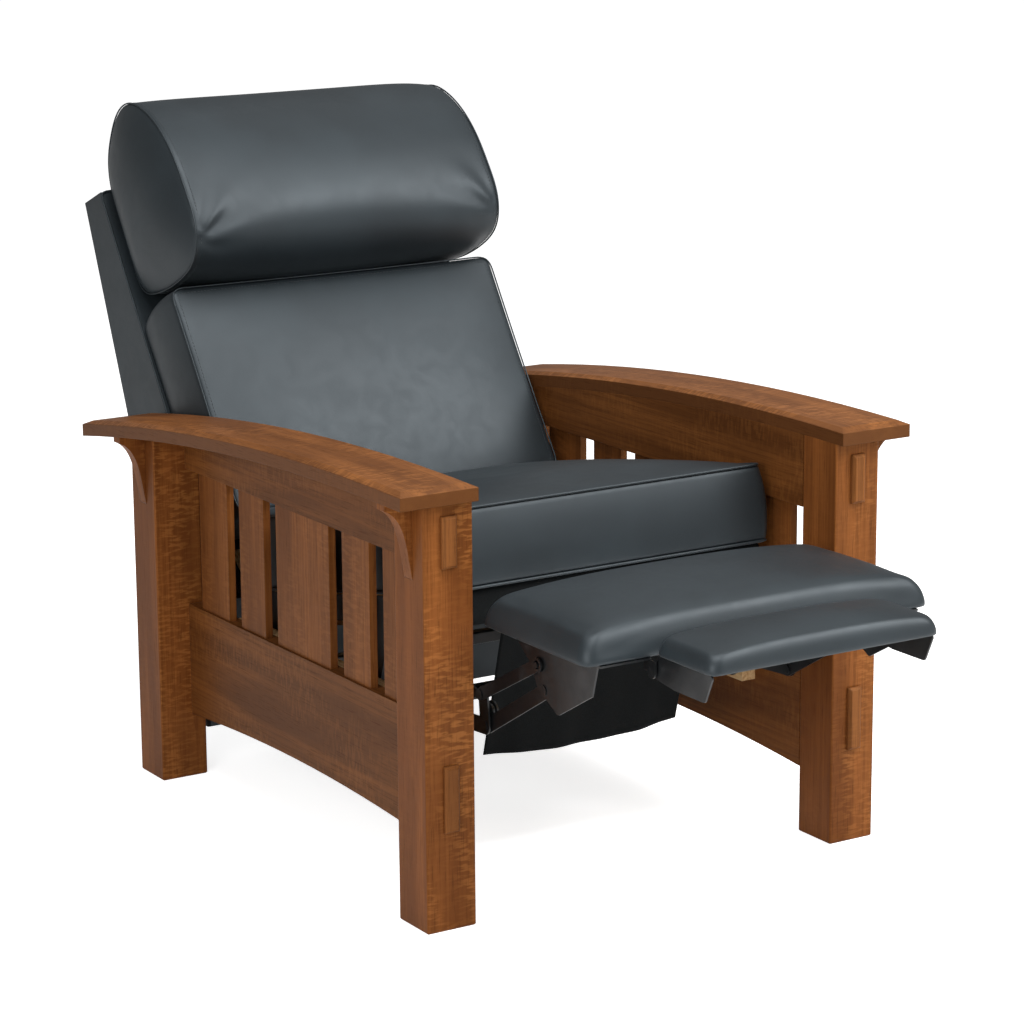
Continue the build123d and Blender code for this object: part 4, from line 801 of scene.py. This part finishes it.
def flap_form(u, v, width, top, foot, sag):
    """A hanging cloth: straight from its top edge to its foot, v the share of the way down. Its hem hangs
    lower in the middle by sag (1 - u^2) v, and it ripples by v (2.6 sin(7 u + 1) + 1.4 sin(15 u + 2))."""
    line = top + (foot - top) * v[..., None]
    ripple = v * (2.6 * np.sin(7.0 * u + 1.0) + 1.4 * np.sin(15.0 * u + 2.0))
    return np.stack((u * width / 2.0, line[..., 0] + ripple, line[..., 1] - sag * (1.0 - u**2) * v), 2)


# Studio

def seen_share(tree, mirrored):
    """How much of the white background a ray shows: all to the camera and through glass, and a share in
    reflections, where a white room all round would grey the leather."""
    rays = add(tree, "LightPath")
    gloss = add(tree, "Math", {0: rays.outputs["Is Glossy Ray"], 1: mirrored}, operation="MULTIPLY")
    clear = add(tree, "Math", {0: rays.outputs["Is Camera Ray"], 1: rays.outputs["Is Transmission Ray"]},
                operation="MAXIMUM")
    return add(tree, "Math", {0: clear, 1: gloss}, operation="MAXIMUM")


def aimed(place, forward, roll=0.0):
    """A place in space that looks along a direction, rolled about it."""
    right = np.cross(forward, (0.0, 0.0, 1.0))
    right /= np.linalg.norm(right)
    up = np.cross(right, forward)
    axes = np.eye(4)
    axes[:3, 0] = math.cos(roll) * right + math.sin(roll) * up
    axes[:3, 1] = math.cos(roll) * up - math.sin(roll) * right
    axes[:3, 2], axes[:3, 3] = -np.array(forward), place
    return Matrix(axes.tolist())


def area_lamp(name, watts, place, aim, wide, tall):
    """A rectangular lamp that looks at a point."""
    data = bpy.data.lights.new(name, "AREA")
    data.energy, data.shape, data.size, data.size_y = watts, "RECTANGLE", wide, tall
    lamp = bpy.data.objects.new(name, data)
    bpy.context.scene.collection.objects.link(lamp)
    forward = np.subtract(aim, place)
    lamp.matrix_world = aimed(place, forward / np.linalg.norm(forward))


# Operators: one for each piece or group of like pieces, and one for the stage

class ArmchairFinishOak(bpy.types.Operator):
    """Stain and lacquer the oak of the two sides."""
    bl_idname = "armchair.finish_oak"
    bl_label = "Oak sides"

    def execute(self, context):
        wood = context.scene.armchair_wood
        across, along, up = range(3)
        post = oak("stained_oak_post", tuple(wood.post), up, along, figure=1.0)
        rail = oak("stained_oak_rail", tuple(wood.rail), along, across, figure=0.3)
        slat = oak("stained_oak_slat", tuple(wood.slat), up, across, figure=0.35)
        arm = oak("stained_oak_arm", tuple(wood.arm), along, up, figure=0.7, soak=0.9)
        tenon = oak("stained_oak_tenon_end", tuple(wood.tenon), up, along, figure=0.3)
        for side in ("left", "right"):
            for end in ("front", "rear"):
                give(f"{end}_{side}_post", post)
                give(f"{end}_{side}_corbel", post)
            for name in ("lower_rail", "upper_rail"):
                give(f"{side}_{name}", rail)
            for name in ("outer_slats", "inner_slats", "centre_slat"):
                give(f"{side}_{name}", slat)
            give(f"{side}_arm", arm)
        for name in ("upper_tenon_ends", "lower_tenon_ends"):
            give(name, tenon)
        return {"FINISHED"}


class ArmchairFinishMechanism(bpy.types.Operator):
    """Paint and plate the mechanism, and finish the hidden wood and springs."""
    bl_idname = "armchair.finish_mechanism"
    bl_label = "Mechanism and inner frame"

    def execute(self, context):
        metal = context.scene.armchair_metal
        paint = painted_steel("black_enamelled_steel", tuple(metal.paint))
        zinc = bare_metal("bright_zinc_plate", tuple(metal.zinc), roughness=0.3, streak=10.0 / 3.0)
        spring = bare_metal("oiled_spring_steel", tuple(metal.spring), roughness=0.42, streak=2.0)
        across_board, along_board, up_board = (
            plain_board(f"bare_board_{word}", axis) for axis, word in enumerate(("across", "along", "up")))
        for side in ("left", "right"):
            for name in ("base_plate", "seat_plate", "drive_link", "carry_link", "footrest_bracket",
                         "back_bracket"):
                give(f"{side}_{name}", paint)
        for made, names in (
            (paint, ("front_cross_tube", "rear_cross_tube", "torque_rod", "guide_links", "control_links",
                     "extension_arms")),
            (zinc, ("base_bolts", "seat_bolts", "back_bolts")),
            (spring, ("seat_springs", "back_springs")),
            (along_board, ("mounting_cleats", "seat_side_rails")),
            (across_board, ("seat_rear_rail", "back_cross_rails", "footrest_board", "extension_board")),
            (up_board, ("back_stiles",)),
        ):
            for name in names:
                give(name, made)
        return {"FINISHED"}


class ArmchairSeatCushion(bpy.types.Operator):
    """Make the boxed seat cushion with its two welts."""
    bl_idname = "armchair.seat_cushion"
    bl_label = "Seat cushion"

    def execute(self, context):
        piece, skin = boxed_cushion("seat_cushion_cover", "seat", seat_place(298.0, SOFT_GAP), width=588.0,
                                    depth=594.0, boxing=114.0, crown=22.0, belly=5.0, flatness=4.5)
        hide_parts("seat_cushion")
        for word, level in (("top", skin.counts[2]), ("foot", 0)):
            welt(f"seat_cushion_{word}_welt", piece, skin.ring(2, level), "seat",
                 context.scene.armchair_leather.welt)
        return {"FINISHED"}


class ArmchairBackCushion(bpy.types.Operator):
    """Make the boxed lower back cushion with its seam and stitches."""
    bl_idname = "armchair.back_cushion"
    bl_label = "Lower back cushion"

    def execute(self, context):
        piece, skin = boxed_cushion("lower_back_cushion_cover", "back", back_place(438.5, SOFT_GAP),
                                    width=598.0, depth=392.0, boxing=129.0, crown=16.0, belly=6.0,
                                    flatness=2.6)
        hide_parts("lower_back_cushion")
        top = skin.counts[2]
        welt("lower_back_cushion_welt", piece, skin.ring(2, top), "back", context.scene.armchair_leather.seam)
        stitches("lower_back_cushion_stitches", piece, [skin.ring(2, top, 1)], "back")
        return {"FINISHED"}


class ArmchairPillow(bpy.types.Operator):
    """Make the headrest pillow, puckered at its lower corners, with stitched end panels."""
    bl_idname = "armchair.pillow"
    bl_label = "Headrest pillow"

    def execute(self, context):
        width, depth, height, foot = 566.0, 249.0, 335.0, 239.0
        skin = Skin(counts_for(width, height, depth))
        form = pillow_form(skin, width, depth, height)
        place = back_place(foot, SOFT_GAP)
        piece = piece_of("headrest_pillow_cover", put(form, place), skin.faces, "back", leather())
        last = skin.counts[0]
        seams = {"right": skin.ring(0, 0), "left": skin.ring(0, last)}
        held = form[:, 2] < 0.5
        for seam in seams.values():
            held[seam] = True
        settle(piece, skin.faces, held, context.scene.armchair_cushions.swell)
        soften(piece)
        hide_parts("headrest_pillow")
        stitches("headrest_pillow_stitches", piece, [skin.ring(0, 1), skin.ring(0, last - 1)], "back")
        for word, seam in seams.items():
            welt(f"headrest_pillow_{word}_welt", piece, seam, "back", context.scene.armchair_leather.seam)
        return {"FINISHED"}


class ArmchairFootrest(bpy.types.Operator):
    """Make the footrest pad and its extension's pad."""
    bl_idname = "armchair.footrest"
    bl_label = "Footrest pads"

    def execute(self, context):
        for node, body, width, front, rear, bottom, height, edge, radius, droop in (
            ("footrest_pad", "footrest", 588.0, -252.0, 20.0, 433.0, 66.0, 20.0, 22.0, 0.22),
            ("extension_pad", "extension", 386.0, -399.0, -263.0, 440.0, 43.0, 16.0, 18.0, 0.2),
        ):
            depth = rear - front
            # More cells up the band than its height asks, for its tight roll
            skin = Skin(counts_for(width, depth, height * 1.4))
            form = pad_form(skin, width, depth, height, edge, radius, droop)
            place = level_place((front + rear) / 2.0, bottom)
            piece = piece_of(f"{node}_cover", put(form, place), skin.faces, body, leather())
            held = skin.shares[:, 2] < -0.7
            settle(piece, skin.faces, held, context.scene.armchair_cushions.swell / 3.0)
            soften(piece)
            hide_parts(node)
        return {"FINISHED"}


class ArmchairFrontRail(bpy.types.Operator):
    """Draw black lining cloth over the seat's front rail as painted shade: the rail is leather, and the
    cloth's black stands in for the shade under the seat cushion.
    """
    bl_idname = "armchair.front_rail"
    bl_label = "Front rail cover"

    def execute(self, context):
        width, thickness, height, roll = 553.0, 24.0, 55.0, 11.0
        # More cells round the section than its sides ask, for its rolled corners
        skin = Skin(counts_for(width, thickness * 3.0, height * 1.6))
        form = rail_form(skin, width, thickness, height, roll)
        place = seat_place(20.0, 0.0)
        # Painted shade: black cloth where the leather rail lies in shade under the seat cushion
        piece = piece_of("seat_front_rail_shade_cover", put(form, place), skin.faces, "seat",
                         cloth_and_painted_shade())
        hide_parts("seat_front_rail")
        return {"FINISHED"}


class ArmchairBackCover(bpy.types.Operator):
    """Make the upholstered shell of the back, open in front below the cushions."""
    bl_idname = "armchair.back_cover"
    bl_label = "Back cover"

    def execute(self, context):
        width, wall, open_from = 604.0, 12.0, 650.0
        corners = ((0.0, -731.0), (0.0, 0.0), (-66.0, 14.0), (-243.0, -838.0), (-180.0, -887.0))
        skin = Skin(counts_for(width, 900.0, 200.0))
        form = shell_form(skin, width, corners, lining=0.1)
        middle = form[skin.faces].mean(axis=1)
        in_front = np.all(skin.shares[skin.faces, 2] > ON_END, axis=1)
        mouth = in_front & (np.abs(middle[:, 0]) < width / 2.0 - wall) & (middle[:, 1] < -open_from)
        piece = piece_of("back_cover_leather", put(form, back_place(0.0, 0.0)), skin.faces[~mouth], "back",
                         leather())
        thick = piece.modifiers.new("padding", "SOLIDIFY")
        thick.thickness = 1.6 * MM
        thick.offset = -1.0
        edge = piece.modifiers.new("rolled_edges", "BEVEL")
        edge.width = 5.0 * MM
        edge.segments = 3
        edge.limit_method = "ANGLE"
        edge.angle_limit = math.radians(40.0)
        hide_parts("back_cover")
        welt("back_cover_welt", piece, skin.ring(2, skin.counts[2]), "back", 2.0 * MM)
        return {"FINISHED"}


class ArmchairFlap(bpy.types.Operator):
    """Hang the black dust flap from the front rail."""
    bl_idname = "armchair.flap"
    bl_label = "Dust flap"

    def execute(self, context):
        low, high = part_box("front_dust_flap")
        width, thickness, sag, hem = 346.0, 1.0, 11.0, 1.0
        top = np.array((low.y / MM + hem, high.z / MM - hem))
        foot = np.array((high.y / MM - hem, low.z / MM + sag))
        u, v = np.meshgrid(np.linspace(-1.0, 1.0, 60), np.linspace(0.0, 1.0, 40), indexing="ij")
        points = flap_form(u, v, width, top, foot, sag).reshape(-1, 3) * MM
        ids = np.arange(u.size).reshape(u.shape)
        faces = np.stack((ids[:-1, :-1], ids[:-1, 1:], ids[1:, 1:], ids[1:, :-1]), 2).reshape(-1, 4)
        piece = piece_of("front_dust_flap_cloth", points, faces, "seat", cloth_and_painted_shade())
        thick = piece.modifiers.new("cloth", "SOLIDIFY")
        thick.thickness = thickness * MM
        thick.offset = 0.0
        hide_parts("front_dust_flap")
        return {"FINISHED"}


class ArmchairStage(bpy.types.Operator):
    """Set up a white studio floor, soft lamps and the camera."""
    bl_idname = "armchair.stage"
    bl_label = "Studio"

    def execute(self, context):
        scene, studio, white = context.scene, context.scene.armchair_studio, (1.0, 1.0, 1.0, 1.0)
        reach = 60.0
        mesh = bpy.data.meshes.new("studio_floor")
        mesh.from_pydata([(-reach, -reach, 0.0), (reach, -reach, 0.0), (reach, reach, 0.0),
                          (-reach, reach, 0.0)], [], [(0, 1, 2, 3)])
        floor = bpy.data.objects.new("studio_floor", mesh)
        scene.collection.objects.link(floor)
        made, tree = material("white_paper")
        glow = add(tree, "Math", {0: seen_share(tree, studio.mirrored), 1: studio.glow},
                   operation="MULTIPLY")
        mesh.materials.append(surfaced(made, {
            "Base Color": tuple(studio.floor), "Roughness": 0.9, "Specular IOR Level": 0.0,
            "Emission Color": white, "Emission Strength": glow}))
        scene.world = bpy.data.worlds.new("studio_world")
        scene.world.use_nodes = True
        tree = scene.world.node_tree
        tree.nodes.clear()
        strength = add(tree, "Math", {0: seen_share(tree, studio.mirrored), 1: studio.sky},
                       operation="MAXIMUM")
        add(tree, "OutputWorld", {0: add(tree, "Background", {0: white, 1: strength})})
        for name, watts, place, aim, wide, tall in (
            ("key_lamp", studio.key, (2.2, -2.3, 3.3), (0.0, 0.1, 0.5), 2.2, 2.2),
            ("front_lamp", studio.front, (2.0, -3.4, 1.3), (0.0, 0.0, 0.5), 2.0, 1.6),
            ("side_lamp", studio.side, (-2.9, -2.2, 1.6), (0.0, 0.0, 0.5), 1.6, 1.4),
            ("top_lamp", studio.top, (-0.5, -1.0, 3.8), (0.0, 0.0, 0.6), 2.2, 2.2),
            ("back_lamp", studio.back, (1.3, 1.2, 3.6), (0.0, 0.1, 0.6), 2.2, 2.2),
        ):
            area_lamp(name, watts, place, aim, wide, tall)
        # The photograph's camera, solved from the chair's straight edges: its place, where it looks, its lens
        stand = np.array((-2620.45, FRONT - 3792.57, 1657.98)) * MM
        yaw, pitch, roll = (math.radians(angle) for angle in (32.01, 13.40, -0.4))
        forward = (math.sin(yaw) * math.cos(pitch), math.cos(yaw) * math.cos(pitch), -math.sin(pitch))
        view = bpy.data.cameras.new("photo_camera")
        view.sensor_width = 36.0
        view.lens = 116.68
        view.clip_end = 60.0
        camera = bpy.data.objects.new("photo_camera", view)
        scene.collection.objects.link(camera)
        camera.matrix_world = aimed(stand, forward, roll)
        scene.camera = camera
        scene.view_settings.view_transform = "Standard"
        return {"FINISHED"}


OPERATORS = (
    ArmchairStage, ArmchairFinishOak, ArmchairFinishMechanism, ArmchairSeatCushion, ArmchairBackCushion,
    ArmchairPillow, ArmchairFootrest, ArmchairFrontRail, ArmchairBackCover, ArmchairFlap,
)


class ArmchairPanel(bpy.types.Panel):
    """The armchair's steps and sizes."""
    bl_idname = "ARMCHAIR_PT_panel"
    bl_label = "Reclining armchair"
    bl_space_type = "VIEW_3D"
    bl_region_type = "UI"
    bl_category = "Armchair"

    def draw(self, context):
        for name in GROUPS:
            group = getattr(context.scene, name)
            box = self.layout.box()
            for key in group.__annotations__:
                box.prop(group, key)
        for step in OPERATORS:
            self.layout.operator(step.bl_idname)


CLASSES = (*GROUPS.values(), *OPERATORS, ArmchairPanel)


def register():
    """Register the classes and give the scene its groups of values."""
    for made in CLASSES:
        bpy.utils.register_class(made)
    for name, group in GROUPS.items():
        setattr(bpy.types.Scene, name, bpy.props.PointerProperty(type=group))


def unregister():
    """Take the groups and the classes away again."""
    for name in GROUPS:
        delattr(bpy.types.Scene, name)
    for made in reversed(CLASSES):
        bpy.utils.unregister_class(made)


def main():
    """Register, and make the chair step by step."""
    register()
    for step in OPERATORS:
        group, action = step.bl_idname.split(".")
        getattr(getattr(bpy.ops, group), action)()


if __name__ == "__main__":
    main()
